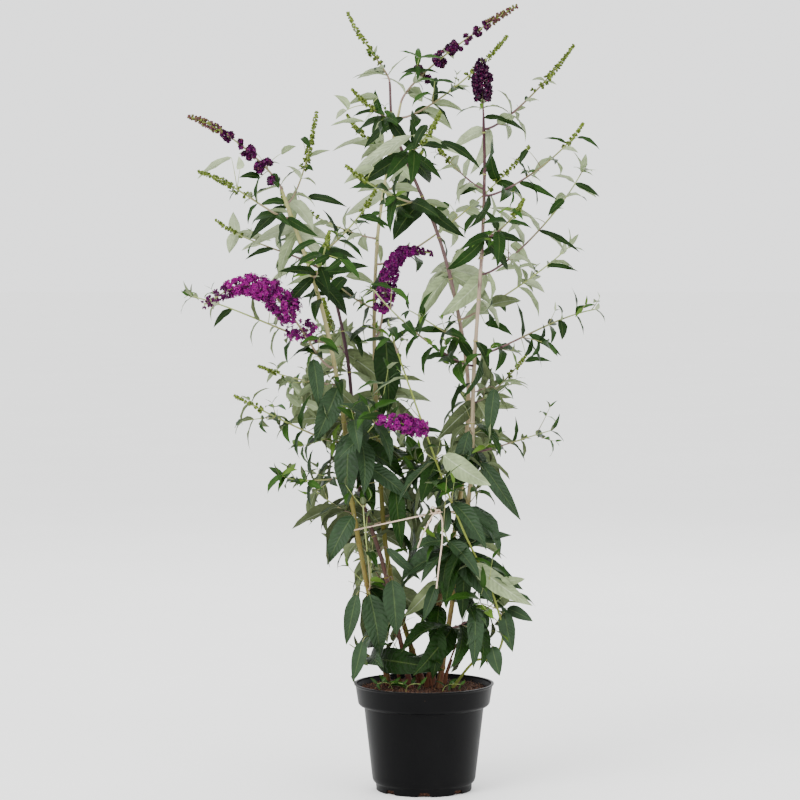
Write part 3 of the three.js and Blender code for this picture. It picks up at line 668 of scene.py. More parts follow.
TIE = Sizes(girth=1.25, wall=1.4, left=428, right=462, over=180, steps=20)
TIED = ("left", "dark", "middle", "right", "tall")
KNOT = np.array((22.0, -92.0, 466.0))
TAILS = (
    [(0, 0, 0), (6, -14, -10), (6, -26, -44), (1, -30, -84), (-3, -30, -120)],
    [(0, 0, 0), (-7, -12, -2), (-18, -18, -20), (-28, -20, -42), (-33, -20, -56)],
    [(0, 0, 0), (-4, -5, 5), (-9, -3, 9), (-12, 2, 2), (-6, 4, -4), (0, 0, 0)],
    [(2, 2, 0), (3, -3, 3), (-1, -4, 4), (-4, 0, 2), (-3, 4, -1), (2, 3, -2), (3, -3, 0)],
)
low = [cane_at(name, TIE.left).at for name in TIED]
centre = sum(low) / len(TIED)
loop = []
for name, foot in zip(TIED, low):
    height = TIE.left + (TIE.right - TIE.left) * min(1, (foot[0] - low[0][0]) / TIE.over)
    middle, reach = cane_at(name, height).at, cane_radius(name, share_at(name, height)) + TIE.wall
    heading = atan2(middle[1] - centre[1], middle[0] - centre[0])
    for turn in (0.5, 0, -0.5):
        loop.append(middle + reach * np.array((cos(heading + turn), sin(heading + turn), 0)))
strands = [[*loop, KNOT, loop[0]]]
for tail in TAILS:
    curve = smooth_through([KNOT + place for place in tail])
    strands.append(traced(curve, TIE.steps))
tails = strands[1:3]
raffia = Finish("raffia", 0.75, 0.3)
fibres = raffia.grain(700.0, 4.0)
raffia.colour(fibres, (0.3, 190, 160, 138), (0.7, 226, 204, 184))
raffia.relief(fibres, 0.0003, 0.6)
worn(skinned("raffia_tie", strands, TIE.girth, sides=6, relief=0.0004, bark=raffia.material), "bark")

# ------------------------------------------------------------
# The side shoots: soft green twigs that spring from the nodes in pairs and arch over. They bear
# the leaves in crosswise pairs, shorter sprigs in their axils, and most end in flower or bud.

# How long each end of a shoot is, and its radius. A tuft of leaves is an end with neither.
ENDS = {"bud": (46, 3.4), "spike": (84, 4.6), "loose": (176, 11), "great": (222, 24), "dense": (160, 24),
        "short": (74, 19), "cone": (58, 20)}
# The shoots of each cane: the height of its node, its tip, how it lifts there, its end, the length of
# its leaves, how many pairs it bears, and the length of the old pair at its foot.
SHOOTS = [
    ("left", [
        (984, -377, -84, 1100, -0.42, "loose", 56, 2, 0), (962, -176, 20, 1108, 0.9, "spike", 46, 2, 0),
        (940, -355, -160, 1010, -0.2, "spike", 56, 2, 76), (915, -236, 92, 988, 0.4, "bud", 68, 3, 84),
        (868, -76, -110, 988, 0.8, "bud", 64, 3, 0), (842, -150, -226, 915, 0.2, "bud", 72, 3, 96),
        (738, -374, -40, 811, -0.1, "tuft", 66, 3, 0), (696, -350, -150, 800, 0, "great", 56, 1, 0),
        (668, -272, 70, 693, 0.2, "bud", 62, 3, 96), (573, -304, -84, 652, 0.1, "bud", 66, 3, 116),
        (516, -227, -60, 520, 0.3, "tuft", 64, 3, 120), (455, -196, 104, 500, 0.3, "tuft", 76, 2, 118),
        (330, -99, -56, 474, 1, "tuft", 56, 3, 88)]),
    ("dark", [
        (850, -346, 136, 934, 0.3, "bud", 60, 3, 0), (716, -170, 236, 800, 0.5, "spike", 72, 3, 96),
        (600, -206, 186, 636, 0.3, "tuft", 78, 2, 112)]),
    ("middle", [
        (1130, 154, 110, 1290, -0.2, "loose", 60, 2, 0), (1106, 134, 40, 1233, 0.4, "spike", 62, 3, 0),
        (1052, -128, 218, 1112, 0.6, "spike", 68, 3, 82), (985, 0, 250, 1056, 0.4, "bud", 70, 3, 90),
        (905, -216, 170, 964, 0.3, "bud", 64, 3, 0), (862, 172, 70, 1054, 0.4, "spike", 72, 3, 80),
        (790, -206, 30, 900, 0.5, "tuft", 72, 3, 100), (742, 14, 6, 880, 0, "dense", 58, 1, 0),
        (640, -40, 222, 704, 0.5, "bud", 80, 3, 118)]),
    ("green", [(600, -71, -150, 619, 0, "short", 40, 1, 0)]),
    ("right", [
        (1156, -122, -62, 1264, 0.4, "spike", 56, 2, 0), (1098, -114, -130, 1140, 0.3, "bud", 60, 3, 68),
        (1040, 22, -226, 1100, 0.4, "spike", 68, 3, 86), (965, -122, -196, 1018, 0.3, "bud", 70, 3, 92),
        (846, 58, 160, 884, 0.3, "bud", 72, 3, 106), (772, 242, 120, 890, 0.2, "tuft", 70, 3, 0),
        (744, -24, -90, 790, 0, "tuft", 60, 2, 76), (580, 120, 176, 640, 0.3, "tuft", 80, 3, 118)]),
    ("tall", [
        (1098, 90, -96, 1190, 1, "cone", 44, 1, 0), (1080, 237, -70, 1212, 0.4, "spike", 64, 3, 90),
        (985, 12, 0, 1066, 0.3, "bud", 58, 3, 0), (974, 250, -130, 1086, 0.7, "bud", 68, 3, 72),
        (905, 152, -240, 966, 0.4, "bud", 68, 3, 90), (848, 256, 0, 1012, 0.6, "tuft", 72, 3, 104),
        (718, 272, -100, 792, -0.2, "tuft", 66, 4, 90), (700, -80, -168, 824, 0.4, "tuft", 60, 3, 0),
        (640, 168, 10, 716, 0.4, "bud", 68, 3, 100), (560, 202, -90, 597, 0, "tuft", 56, 3, 120)]),
    ("green", [(722, -58, -124, 776, 0.4, "tuft", 62, 2, 0)]),
]
# A shoot bent through a further place, a blossom with rows missing, and shoots with no side twig.
ODD = {
    "left_shoot_696": dict(via=[(-235, -95, 880)], gaps=(1, 2)),
    "middle_shoot_742": dict(via=[(-70, 30, 900)], gaps=(1, 4), slim=0.62),
    "green_shoot_600": dict(via=[(14, -158, 604)]),
    "left_shoot_984": dict(bare=True),
    "tall_shoot_1098": dict(bare=True),
    "green_shoot_722": dict(bare=True),
}
LOW = Sizes(canes=("left", "tall", "dark", "tall", "middle", "right", "left"), bottom=214, step=58, reach=96,
            climb=56, start=200, turn=137.5)
SHOOT = Sizes(steps=24, out=0.14, arrive=0.34, on_tip=0.985, flower=0.86, tuft=0.03)
TWIG = Sizes(long=180, stout=1.9, slender=1.6, thins=0.5)
SPACING = Sizes(foot=0.07, first=0.16, run=0.8, early=0.6, shrink=0.45)
SIDE = Sizes(long_shoot=200, length=(0.24, 0.14), most=170, round=0.8, forward=0.7, lift=0.12, bow=0.55,
             bow_lift=0.06, pairs=(0.32, 0.62), pair_at=0.97, leaf=0.7)

# Pairs of leaves by where they stand: the station of their widest place, and then each a least value
# and what chance adds to it: the swing round the twig, the size against the shoot's leaf, the rise
# towards the tip in radians, how far it sags, its width by its length and the arc it bends through.
PAIRS = {
    "old": (0.698, (-0.35, 0.7), (0.85, 0.3), (0.1, 0), (0.55, 0.5), (0.31, 0.08), (0.5, 0.9)),
    "along": (0.42, (-0.3, 0.6), (0.82, 0.36), (0.45, 0.4), (0, 0.25), (0.25, 0.1), (0.5, 0.9)),
    "low": (0.42, (-0.4, 0.8), (0.82, 0.36), (0.3, 0.3), (0.2, 0.6), (0.3, 0.08), (0.5, 0.9)),
    "top": (0.42, (0.8, 0), (0.4, 0.2), (1, 0), (0, 0), (0.25, 0.1), (0.5, 0.9)),
    "side": (0.42, (0, 0.8), (0.5, 0.25), (0.7, 0), (0.1, 0), (0.25, 0.1), (0.5, 0.9)),
    "finer": (0.42, (-0.3, 0.6), (0.76, 0.4), (0.4, 0.5), (0, 0.3), (0.24, 0.1), (0.9, 1.1)),
    "sprig": (0.42, (-0.3, 0.6), (0.55, 0.5), (0.4, 0.4), (0, 0.3), (0.26, 0.16), (0.5, 1)),
    "tip": (0.42, (0, 0.4), (0.45, 0.3), (0.9, 0.3), (0, 0.1), (0.25, 0.1), (0.3, 0.5)),
    "cane": (0.42, (-0.3, 0.6), (0.75, 0.4), (0.25, 0.4), (0.3, 0.5), (0.25, 0.1), (0.5, 0.9)),
    "sucker": (0.42, (-0.3, 0.6), (0.8, 0.5), (0.3, 0.3), (0, 0.1), (0.28, 0.1), (0.4, 0.6)),
}
FACE = Sizes(forward=0.6, up=0.5, back=(-0.6, 0.5), fold=(0.15, 0.3))
SEED = Sizes(shoots=4127, finer=90017, leaves=515, flowers=6007, step=7919)


class Grown(Sizes):
    """A shoot or a leaf, with what most of them haven't got."""

    via, gaps, slim, bare, low = (), None, 1, False, False
    felt, hung = None, False

    def but(self, **changes):
        return Grown(**{**vars(self), **changes})


def dice(seed, number):
    """The same numbers from 0 to 1 each time, from a seed and a number of steps on from it."""
    state = seed + number * SEED.step

    def draw():
        nonlocal state
        state = state * 16807 % 2147483647
        return state / 2147483647

    return draw


def chance(span, draw):
    return span[0] + span[1] * draw()


def round_of(spot, angle):
    return spot.side * cos(angle) + spot.over * sin(angle)


def bezier(*places):
    """A curve that leaves its first place and comes to its last, drawn by those between."""

    def at(t):
        level = places
        while len(level) > 1:
            level = [(1 - t) * a + t * b for a, b in zip(level, level[1:])]
        return level[0]

    return at


def leaf_pair(kind, spot, turned, size, draw, radius=0.5):
    """A pair of leaves for a spot of a twig, one on each side, with all that chance decides."""
    station, swings, sizes, rises, sags, widths, bends = PAIRS[kind]
    pair = []
    for half in (0, pi):
        angle = half + turned + chance(swings, draw)
        length = size * chance(sizes, draw)
        rise, sag, back = chance(rises, draw), chance(sags, draw), chance(FACE.back, draw)
        width, bend, fold = length * chance(widths, draw), chance(bends, draw), chance(FACE.fold, draw)
        pair.append(Grown(spot=spot, radius=radius, station=station, angle=angle, length=length, rise=rise,
                          sag=sag, back=back, width=width, bend=bend, fold=fold))
    return pair


def placed(leaf, turn=0.0):
    """A leaf in its place, turned round its twig by so much more."""
    spot = leaf.spot
    round_ = round_of(spot, leaf.angle + turn)
    along = round_ * cos(leaf.rise) + spot.along * sin(leaf.rise)
    along = unit(along - UP * leaf.sag)
    over = spot.along * FACE.forward + UP * FACE.up + round_ * leaf.back
    over = unit(over - along * over.dot(along))
    return leaf.but(along=along, over=over, root=spot.at - along * 0.1 * leaf.radius)


def cane_face(name, spot, share, out):
    """How far a five-sided cane stands out from its middle under a twig that leaves it one way."""
    radius = cane_radius(name, share)
    half = pi / CANE.corners
    angle = atan2(out.dot(spot.side), out.dot(spot.over)) / (2 * half)
    from_corner = abs(angle - floor(angle + 0.5)) * 2 * half
    from_face = half - from_corner
    face = (radius * cos(half) + TWIG.stout * sin(from_face)) / cos(from_face)
    return min(radius * cos(from_corner), face)


def shoot_limb(shoot):
    """A shoot leaves its cane square to it, or on from its tip, and curves to its own tip."""
    share = share_at(shoot.on, shoot.at)
    base = between(cane_spots[shoot.on], share)
    tip = np.array(shoot.tip, float)
    reach = tip - base.at
    if share > SHOOT.on_tip:
        out, face = base.along, 0
    else:
        out = unit(reach - base.along * reach.dot(base.along))
        face = cane_face(shoot.on, base, share, out)
    root = base.at + out * (GAP + face)
    way = norm(tip - root)
    via = [np.array(place, float) for place in shoot.via]
    arrive = unit(unit(tip - via[0] if via else reach) + UP * shoot.lift)
    rise = tip - arrive * SHOOT.arrive * way
    return limb(bezier(root, root + out * SHOOT.out * way, *via, rise, tip), SHOOT.steps), base.at


def side_twig(spot, way, leaf, draw):
    """A side twig from a spot of a shoot, with a pair of small leaves at its tip."""
    angle = draw() * 2 * pi
    length = chance(SIDE.length, draw) * min(way, SIDE.most)
    away = unit(round_of(spot, angle) * SIDE.round + spot.along * SIDE.forward)
    reach = away * length + UP * SIDE.lift * length
    bow = spot.at + reach * SIDE.bow + UP * SIDE.bow_lift * length
    spots = limb(bezier(spot.at, bow, spot.at + reach), SHOOT.steps)
    return spots, leaf_pair("side", between(spots, SIDE.pair_at), 0, leaf, draw, radius=0.8)


def grow(number, shoot):
    """A shoot with its leaves and side twigs, by its seed."""
    draw = dice(SEED.shoots, number)
    spots, base = shoot_limb(shoot)
    way = sum(norm(b.at - a.at) for a, b in zip(spots, spots[1:]))
    flower = min(SHOOT.flower, ENDS[shoot.end][0] / way) if shoot.end in ENDS else SHOOT.tuft
    radius = TWIG.stout if way > TWIG.long else TWIG.slender
    leaves, nodes, twigs = [], [], []
    if shoot.big:
        leaves += leaf_pair("old", between(spots, SPACING.foot), 0, shoot.big, draw, radius)
    for k in range(shoot.pairs):
        share = (1 - flower) * (SPACING.first + SPACING.run * (k + SPACING.early) / shoot.pairs)
        size = shoot.leaf * (1 - SPACING.shrink * k / shoot.pairs)
        kind, thin = "low" if shoot.low else "along", radius * (1 - TWIG.thins * share)
        leaves += leaf_pair(kind, between(spots, share), k % 2 * pi / 2, size, draw, thin)
        nodes.append(share)
    if shoot.end == "tuft":
        thin = radius * (1 - TWIG.thins)
        leaves += leaf_pair("top", between(spots, 1), 0, shoot.leaf, draw, thin)
    if way > SIDE.long_shoot and not shoot.bare:
        share = nodes[int(draw() * len(nodes)) % len(nodes)]
        twigs.append(side_twig(between(spots, share), way, shoot.leaf, draw))
    return shoot.but(spots=spots, base=base, way=way, flower=flower, radius=radius, nodes=nodes,
                     leaves=leaves, twigs=twigs)


shoots = []
for on, rows in SHOOTS:
    for at, *tip, lift, end, leaf, pairs, big in rows:
        node = f"{on}_shoot_{at}"
        shoots.append(Grown(node=node, on=on, at=at, tip=tip, lift=lift, end=end, leaf=leaf, pairs=pairs,
                            big=big, **ODD.get(node, {})))
# Short leafy shoots fill the foot of the bush, set round the clump by turns.
for k, on in enumerate(LOW.canes):
    at = LOW.bottom + k * LOW.step
    middle = cane_at(on, at).at
    turn = radians(LOW.start + k * LOW.turn)
    tip = (middle[0] + LOW.reach * cos(turn), middle[1] + LOW.reach * sin(turn), at + LOW.climb)
    shoots.append(Grown(node=f"low_shoot_{at}", on=on, at=at, tip=tip, lift=0.2, end="tuft", leaf=106,
                        pairs=4, big=122, low=True))
shoots = [grow(number, shoot) for number, shoot in enumerate(shoots)]


# How near a place is to a solid that it counts as on it, and how far a leaf's solid may be swung.
ON_SOLID = 0.5
SWAYS = (0, 0.6, -0.6)


def solid_of(*nodes):
    """The CAD solids of some nodes as one, in millimetres, to measure from."""
    corners, faces = [], []
    for node in nodes:
        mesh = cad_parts[node].data
        faces += [[len(corners) + k for k in face.vertices] for face in mesh.polygons]
        corners += [vertex.co / MM for vertex in mesh.vertices]
    return BVHTree.FromPolygons(corners, faces)


def off(solid, place):
    return solid.find_nearest(Vector(place))[3]


def on_leaf(leaf, share, across):
    """A place on a leaf, by its share of the length and how far it is towards one edge."""
    turn = leaf.bend * share
    wide = across * sin(pi * share**0.75) * leaf.width / 2
    sink = (cos(turn) - 1) / leaf.bend * leaf.length + abs(wide) * leaf.fold
    side = np.cross(leaf.along, leaf.over)
    reach = sin(turn) / leaf.bend * leaf.length
    return leaf.root + leaf.along * reach + leaf.over * sink + side * wide


def marks_on(leaf, shares, sides):
    return [on_leaf(leaf, share, side) for share in shares for side in sides]


def on_solid(solid, place):
    return off(solid, place) < ON_SOLID


def as_built(leaves, solid):
    """Those leaves that a shoot's solid has room for, turned as they are on it."""
    for leaf in leaves:
        for there in (placed(leaf, turn) for turn in SWAYS):
            marks = [on_leaf(there, 1, 0), *marks_on(there, (leaf.station,), (1, -1))]
            if all(on_solid(solid, mark) for mark in marks):
                yield there
                break


# The finer growth: pairs between the pairs, sprigs in their axils, and pairs and sprigs at the
# canes' own nodes. All of it keeps near the solids, off the canes, and above the pot.
FINER = Sizes(spacing=(34, 64), near=34, more_near=26, off_cane=1.5, floor=181, wander=0.5, longer=1.4,
              shrink=0.35, swing=0.4, into_flower=0.85, tip_leaf=0.8)
SPRIG = Sizes(chance=(0.5, 0.3), length=(0.3, 0.6), round=0.7, forward=0.8, lift=0.15, bow=0.55, steps=6,
              leaf=(0.74, 0.42), shorter=0.62, pair_at=0.7, tip_leaf=0.7, radius=0.85)
CROWN = Sizes(foot=520, top=860)
OLD_WIDTH = (0.88, 0.68)
CANE_LEAF = Sizes(low=132, high=48, large_below=200, shrinks_over=700, full_below=560, thins_over=400,
                  chance=(1, 0.3), bare_below=300, foot_chance=0.45, sprig=0.6, sprig_chance=0.8, out=9)

# What stays clear of leaves in front: three blossoms, the tie's tails and two canes, each with how far
# round it is kept so, and the corner that is open at the left of the foot.
OPEN_TO_VIEW = ("left_shoot_696", "middle_shoot_742", "green_shoot_600")
CLEAR = Sizes(blossom=22, tail=8, cane=9, canes=(("left", 318, 470), ("middle", 330, 500)), step=14)
CORNER = Sizes(right=-124, top=345)
kept_clear = [(between(shoot.spots, share).at, CLEAR.blossom) for shoot in shoots
              if shoot.node in OPEN_TO_VIEW for share in np.linspace(1 - shoot.flower, 0.95, 9)]
kept_clear += [(place, CLEAR.tail) for tail in tails for place in tail[2::3]]
for name, low, high in CLEAR.canes:
    kept_clear += [(cane_at(name, height).at, CLEAR.cane) for height in range(low, high, CLEAR.step)]
# Where each further part of the growth starts in the finer growth's chances.
STREAM = Sizes(canes=100, hung=200, suckers=210, arched=220, twigs=300)
masses = solid_of(*(shoot.node for shoot in shoots))
wood = solid_of(*(f"stem_{name}" for name in CANES))
arched = []


def up_crown(height):
    """How far up its crown a place on the bush is, from 0 in its dense foot to 1 in its open top."""
    return min(1, max(0, (height - CROWN.foot) / (CROWN.top - CROWN.foot)))


def by_height(span, height):
    return span[0] + (span[1] - span[0]) * up_crown(height)


def in_corner(place):
    return place[0] < CORNER.right and place[2] < CORNER.top


def in_box(marks):
    low, high = cad_box
    return all(low[k] / MM < mark[k] < high[k] / MM for mark in marks for k in range(3))


def hides(leaf):
    """Whether a leaf would hide a blossom, the tie or a cane at the front, or fill the open corner."""
    marks = marks_on(leaf, (0.3, 0.55, 0.8, 1), (-1, 0, 1))
    return any(map(in_corner, marks)) or any(
        mark[1] < middle[1] and hypot(mark[0] - middle[0], mark[2] - middle[2]) < clear
        for middle, clear in kept_clear for mark in marks)


def crowded(leaf):
    """Whether a leaf springs from where an arched leaf does."""
    return any(norm(leaf.root - other.root) < ARCH.clear for other in arched)


def fits(leaf):
    """Whether a leaf of the finer growth keeps near the solids, off the canes and above the pot."""
    if hides(leaf) or crowded(leaf):
        return False
    tip = on_leaf(leaf, 1, 0)
    near = FINER.near + FINER.more_near * (1 - up_crown(tip[2]))
    if off(masses, tip) > near or off(masses, on_leaf(leaf, 0.6, 0)) > near:
        return False
    marks = [*marks_on(leaf, (0.35, 0.55, 0.8), (-1, 1)), tip, on_leaf(leaf, 0.5, 0)]
    return in_box(marks) and all(off(wood, mark) > FINER.off_cane and mark[2] > FINER.floor for mark in marks)


def sprig(spot, angle, leaf, draw):
    """A short shoot from an axil, with a pair of leaves half way and a smaller one at its tip."""
    length = leaf * chance(SPRIG.length, draw) * (1 - SPRIG.shorter * up_crown(spot.at[2]))
    away = unit(round_of(spot, angle) * SPRIG.round + spot.along * SPRIG.forward)
    stop = spot.at + away * length + UP * SPRIG.lift * length
    spots = limb(bezier(spot.at, spot.at + away * length * SPRIG.bow, stop), SPRIG.steps)
    turned = draw() * pi
    size = leaf * by_height(SPRIG.leaf, spot.at[2])
    leaves = leaf_pair("sprig", between(spots, SPRIG.pair_at), turned + pi / 2, size, draw)
    size = size * SPRIG.tip_leaf
    return spots, leaves + leaf_pair("tip", between(spots, 1), turned, size, draw, radius=0.4)


def with_finer(shoot, number):
    """The pairs that stand between a shoot's own pairs, and the sprigs in all their axils."""
    draw = dice(SEED.finer, number)
    spots, stops = shoot.spots, [SPACING.foot, *shoot.nodes, 1 - shoot.flower * FINER.into_flower]
    leaves, sprigs = [], []
    for k, (low, high) in enumerate(zip(stops, stops[1:])):
        count = int((high - low) * shoot.way / by_height(FINER.spacing, shoot.at))
        for j in range(count):
            share = low + (high - low) * (j + 1) / (count + 1)
            size = shoot.leaf * (1 - FINER.shrink * share) * by_height((1, FINER.longer), shoot.at)
            turned = (k + j) % 2 * pi / 2 + FINER.swing
            leaves += leaf_pair("finer", between(spots, share), turned, size, draw, shoot.radius)
            stops.append(share)
    for k, share in enumerate(stops):
        for half in (0, 1):
            if draw() < by_height(SPRIG.chance, shoot.at):
                angle = half * pi + k % 2 * pi / 2 + draw() * FINER.wander
                sprigs.append(sprig(between(spots, share), angle, shoot.leaf, draw))
    if shoot.end == "tuft":
        size = shoot.leaf * FINER.tip_leaf
        leaves += leaf_pair("tip", between(spots, 1), pi / 2, size, draw, radius=0.7)
    return leaves, sprigs


def cane_growth(name, number):
    """Pairs of leaves and sprigs at a cane's nodes, full and large low down and fewer above."""
    draw = dice(SEED.finer, number + STREAM.canes)
    leaves, sprigs = [], []
    for k, height in enumerate(node_heights(name)):
        spot = cane_at(name, height)
        up = min(1, max(0, (height - CANE_LEAF.full_below) / CANE_LEAF.thins_over))
        small = min(1, (height - CANE_LEAF.large_below) / CANE_LEAF.shrinks_over)
        size = CANE_LEAF.low + (CANE_LEAF.high - CANE_LEAF.low) * small
        likely = CANE_LEAF.chance[0] + (CANE_LEAF.chance[1] - CANE_LEAF.chance[0]) * up
        likely = CANE_LEAF.foot_chance if height < CANE_LEAF.bare_below else likely
        turned = k % 2 * pi / 2 + number
        radius = cane_radius(name, share_at(name, height))
        pair = leaf_pair("cane", spot, turned, size, draw, -radius * CANE_LEAF.out)
        leaves += [leaf for leaf in pair if draw() < likely]
        for half in (0, 1):
            if draw() < likely * CANE_LEAF.sprig_chance:
                sprigs.append(sprig(spot, turned + half * pi, size * CANE_LEAF.sprig, draw))
    return leaves, sprigs


def trimmed(leaf):
    """A leaf of a shoot's own. An old one is narrower than on its solid, and most so high up the bush."""
    if leaf.station < PAIRS["old"][0]:
        return leaf.but(young=0.15)
    return leaf.but(young=0, width=leaf.width * by_height(OLD_WIDTH, leaf.root[2]))


Line = namedtuple("Line", "path radius young old")
growth = {name: Sizes(lines=[], leaves=[]) for name in CANES}


def keep(group, young, leaves, sprigs=()):
    """Adds the leaves and the sprigs that fit to a cane's growth."""
    group.leaves += [leaf.but(young=young) for leaf in map(placed, leaves) if fits(leaf)]
    for spots, leaves in sprigs:
        leaves = [leaf for leaf in map(placed, leaves) if fits(leaf)]
        if leaves and off(masses, spots[-1].at) < FINER.near and not in_corner(spots[0].at):
            group.lines.append(Line([spot.at for spot in spots], SPRIG.radius, young=0.5, old=0.8))
            group.leaves += [leaf.but(young=0.8) for leaf in leaves]


# Arched leaves of the open crown, each by its root and its tip as they are seen from the front against
# the plant's middle, across and up, and by its width. The first list shows its face, the second its back.
FACING = [
    (104, 1099, 172, 1073, 14), (121, 1009, 110, 1054, 23), (112, 1025, 89, 1007, 14),
    (124, 1003, 163, 975, 20), (149, 1001, 215, 970, 12), (218, 967, 195, 940, 14), (230, 1073, 193, 1076, 7),
    (249, 1069, 286, 1049, 9), (168, 1049, 156, 1026, 12), (184, 930, 253, 889, 11), (254, 987, 291, 968, 11),
    (132, 889, 87, 870, 20), (130, 890, 99, 908, 12), (204, 867, 254, 855, 9), (112, 805, 129, 785, 14),
    (217, 781, 214, 802, 18), (217, 780, 222, 744, 18), (246, 785, 263, 798, 14), (172, 755, 226, 716, 12),
    (99, 767, 145, 746, 16), (164, 704, 209, 704, 11), (166, 714, 176, 745, 11), (26, 1062, 92, 1017, 16),
    (-28, 1028, -35, 959, 34), (-4, 971, -52, 906, 41), (5, 1090, -17, 1047, 16), (-32, 1087, -98, 1041, 21),
    (11, 1171, -33, 1170, 11), (-22, 1034, 19, 1028, 9), (57, 977, 88, 986, 12), (40, 962, 15, 944, 16),
    (-267, 1004, -302, 1004, 14), (-254, 1008, -239, 995, 12), (-199, 1069, -186, 1052, 12),
    (-207, 1024, -188, 1015, 11), (-230, 969, -271, 962, 16), (-219, 958, -282, 902, 21),
    (-190, 973, -125, 956, 14), (-110, 940, -56, 922, 14), (-243, 894, -291, 874, 11),
    (-176, 901, -224, 871, 12), (-221, 866, -247, 848, 9), (-159, 814, -203, 807, 9),
    (-128, 841, -158, 801, 23), (-135, 853, -90, 859, 16), (-135, 917, -117, 901, 14),
    (-315, 798, -345, 764, 14), (-250, 794, -234, 769, 14),
]
TURNED_AWAY = [
    (214, 1054, 245, 1046, 11), (199, 1040, 171, 1006, 14), (177, 939, 109, 955, 11),
    (249, 984, 283, 965, 12), (244, 991, 204, 1004, 9), (142, 897, 171, 867, 16), (115, 927, 120, 952, 12),
    (164, 838, 196, 818, 16), (161, 839, 155, 859, 16), (220, 873, 227, 899, 14), (259, 789, 304, 761, 9),
    (89, 1090, 39, 1054, 21), (55, 1041, 52, 1017, 21), (-20, 1073, -129, 995, 20), (-20, 1073, 66, 1038, 16),
    (-92, 1058, -153, 1043, 11), (-82, 1021, -131, 994, 18), (-123, 1115, -147, 1138, 16),
    (-127, 1114, -144, 1098, 11), (-97, 1095, -153, 1088, 11), (-75, 1134, -125, 1121, 16),
    (-65, 1176, -111, 1164, 14), (32, 1215, 48, 1196, 16), (32, 1152, 71, 1158, 11), (9, 1138, 61, 1119, 16),
    (-25, 1150, -3, 1128, 25), (-10, 1126, 41, 1088, 25), (6, 978, 47, 962, 14), (59, 952, 97, 935, 16),
    (24, 952, 26, 912, 18), (-314, 1037, -370, 1001, 14), (-300, 1018, -302, 1039, 14),
    (-271, 1042, -302, 1043, 14), (-233, 1043, -208, 1055, 14), (-185, 1049, -149, 1056, 9),
    (-216, 965, -179, 917, 28), (-302, 922, -309, 954, 21), (-302, 914, -316, 881, 21),
    (-300, 922, -245, 906, 16), (-269, 899, -300, 887, 12), (-212, 858, -255, 828, 12),
    (-159, 829, -230, 822, 18), (-128, 844, -80, 829, 20),
]
ARCH = Sizes(snap=16, reach=60, bend=(0.7, 0.7), hang=0.9, roll=(0.75, 0.45), lean=(4, 14), clear=17,
             fold=0.25, along=18)
EYE = np.array(eye.location) / MM


def seen(place):
    """Where a place is seen against the plant's middle plane."""
    return EYE + (place - EYE) * EYE[1] / (EYE[1] - place[1])


def unseen(across, up, depth):
    """The place at a depth that is seen at a place of the middle plane."""
    return EYE + (np.array((across, 0, up)) - EYE) * (depth - EYE[1]) / -EYE[1]


def arch(root, tip, over, half, **values):
    """A leaf from its root to its tip that bends through twice an angle, away from one direction."""
    chord = unit(tip - root)
    over = unit(over - chord * over.dot(chord))
    return Grown(root=root, along=chord * cos(half) + over * sin(half),
                 over=over * cos(half) - chord * sin(half), bend=2 * half,
                 length=norm(tip - root) * half / sin(half), **values)


twig_spots = [(shoot.on, between(shoot.spots, share).at) for shoot in shoots
              for share in np.linspace(0, 1 - shoot.flower * 0.8, ARCH.along)]
twig_spots = [(name, spot, seen(spot)) for name, spot in twig_spots]
draw = dice(SEED.finer, STREAM.arched)
for facing, rows in ((1, FACING), (-1, TURNED_AWAY)):
    for x, z, tip_x, tip_z, width in rows:
        name, spot, _ = min(twig_spots, key=lambda each: hypot(each[2][0] - x, each[2][2] - z))
        root = unseen(x, z, spot[1])
        gap = norm(root - spot)
        if gap > ARCH.reach:
            continue
        tip = unseen(tip_x, tip_z, spot[1] - facing * chance(ARCH.lean, draw))
        if gap < ARCH.snap:
            root, tip = spot, tip + (spot - root) * 0.6
        chord = unit(tip - root)
        upward = UP if abs(chord[2]) < ARCH.hang else np.array((copysign(1, tip[0] - root[0]), 0, 0.3))
        roll = chance(ARCH.roll, draw)
        over = unit(upward - chord * upward.dot(chord)) * cos(roll) - BACK * sin(roll) * facing
        leaf = arch(root, tip, over, chance(ARCH.bend, draw) / 2, fold=ARCH.fold, width=width, young=0.1)
        if in_box(marks_on(leaf, (0.5, 0.8, 1), (-1, 0, 1))):
            arched.append(leaf)
            growth[name].leaves.append(leaf)
            if gap >= ARCH.snap:
                curve = bezier(spot, (spot + root) / 2 + UP * 0.15 * gap, root)
                growth[name].lines.append(Line(traced(curve, 7), radius=0.8, young=0.5, old=0.9))

for number, shoot in enumerate(shoots):
    group = growth[shoot.on]
    solid = solid_of(shoot.node)
    built = as_built(shoot.leaves, solid)
    group.leaves += [trimmed(leaf) for leaf in built if shoot.node in OPEN_TO_VIEW or not hides(leaf)]
    keep(group, 0.4, *with_finer(shoot, number))
    draw = dice(SEED.finer, number + STREAM.twigs)
    for spots, leaves in shoot.twigs:
        if on_solid(solid, spots[-1].at):
            group.lines.append(Line([spot.at for spot in spots[::2]], radius=1.1, young=0.4, old=0.9))
            group.leaves += [leaf.but(young=0.6) for leaf in as_built(leaves, solid)]
            for k, share in enumerate(SIDE.pairs):
                size = shoot.leaf * SIDE.leaf
                pair = leaf_pair("finer", between(spots, share), k * pi / 2, size, draw, radius=0.8)
                keep(group, 0.3, pair)
    places = [shoot.base, *(between(shoot.spots, share).at for share in np.linspace(0, 1, 33))]
    places = [place for place in places if not in_corner(place)]
    group.lines.append(Line(places, radius=shoot.radius * 1.1, young=0, old=1))
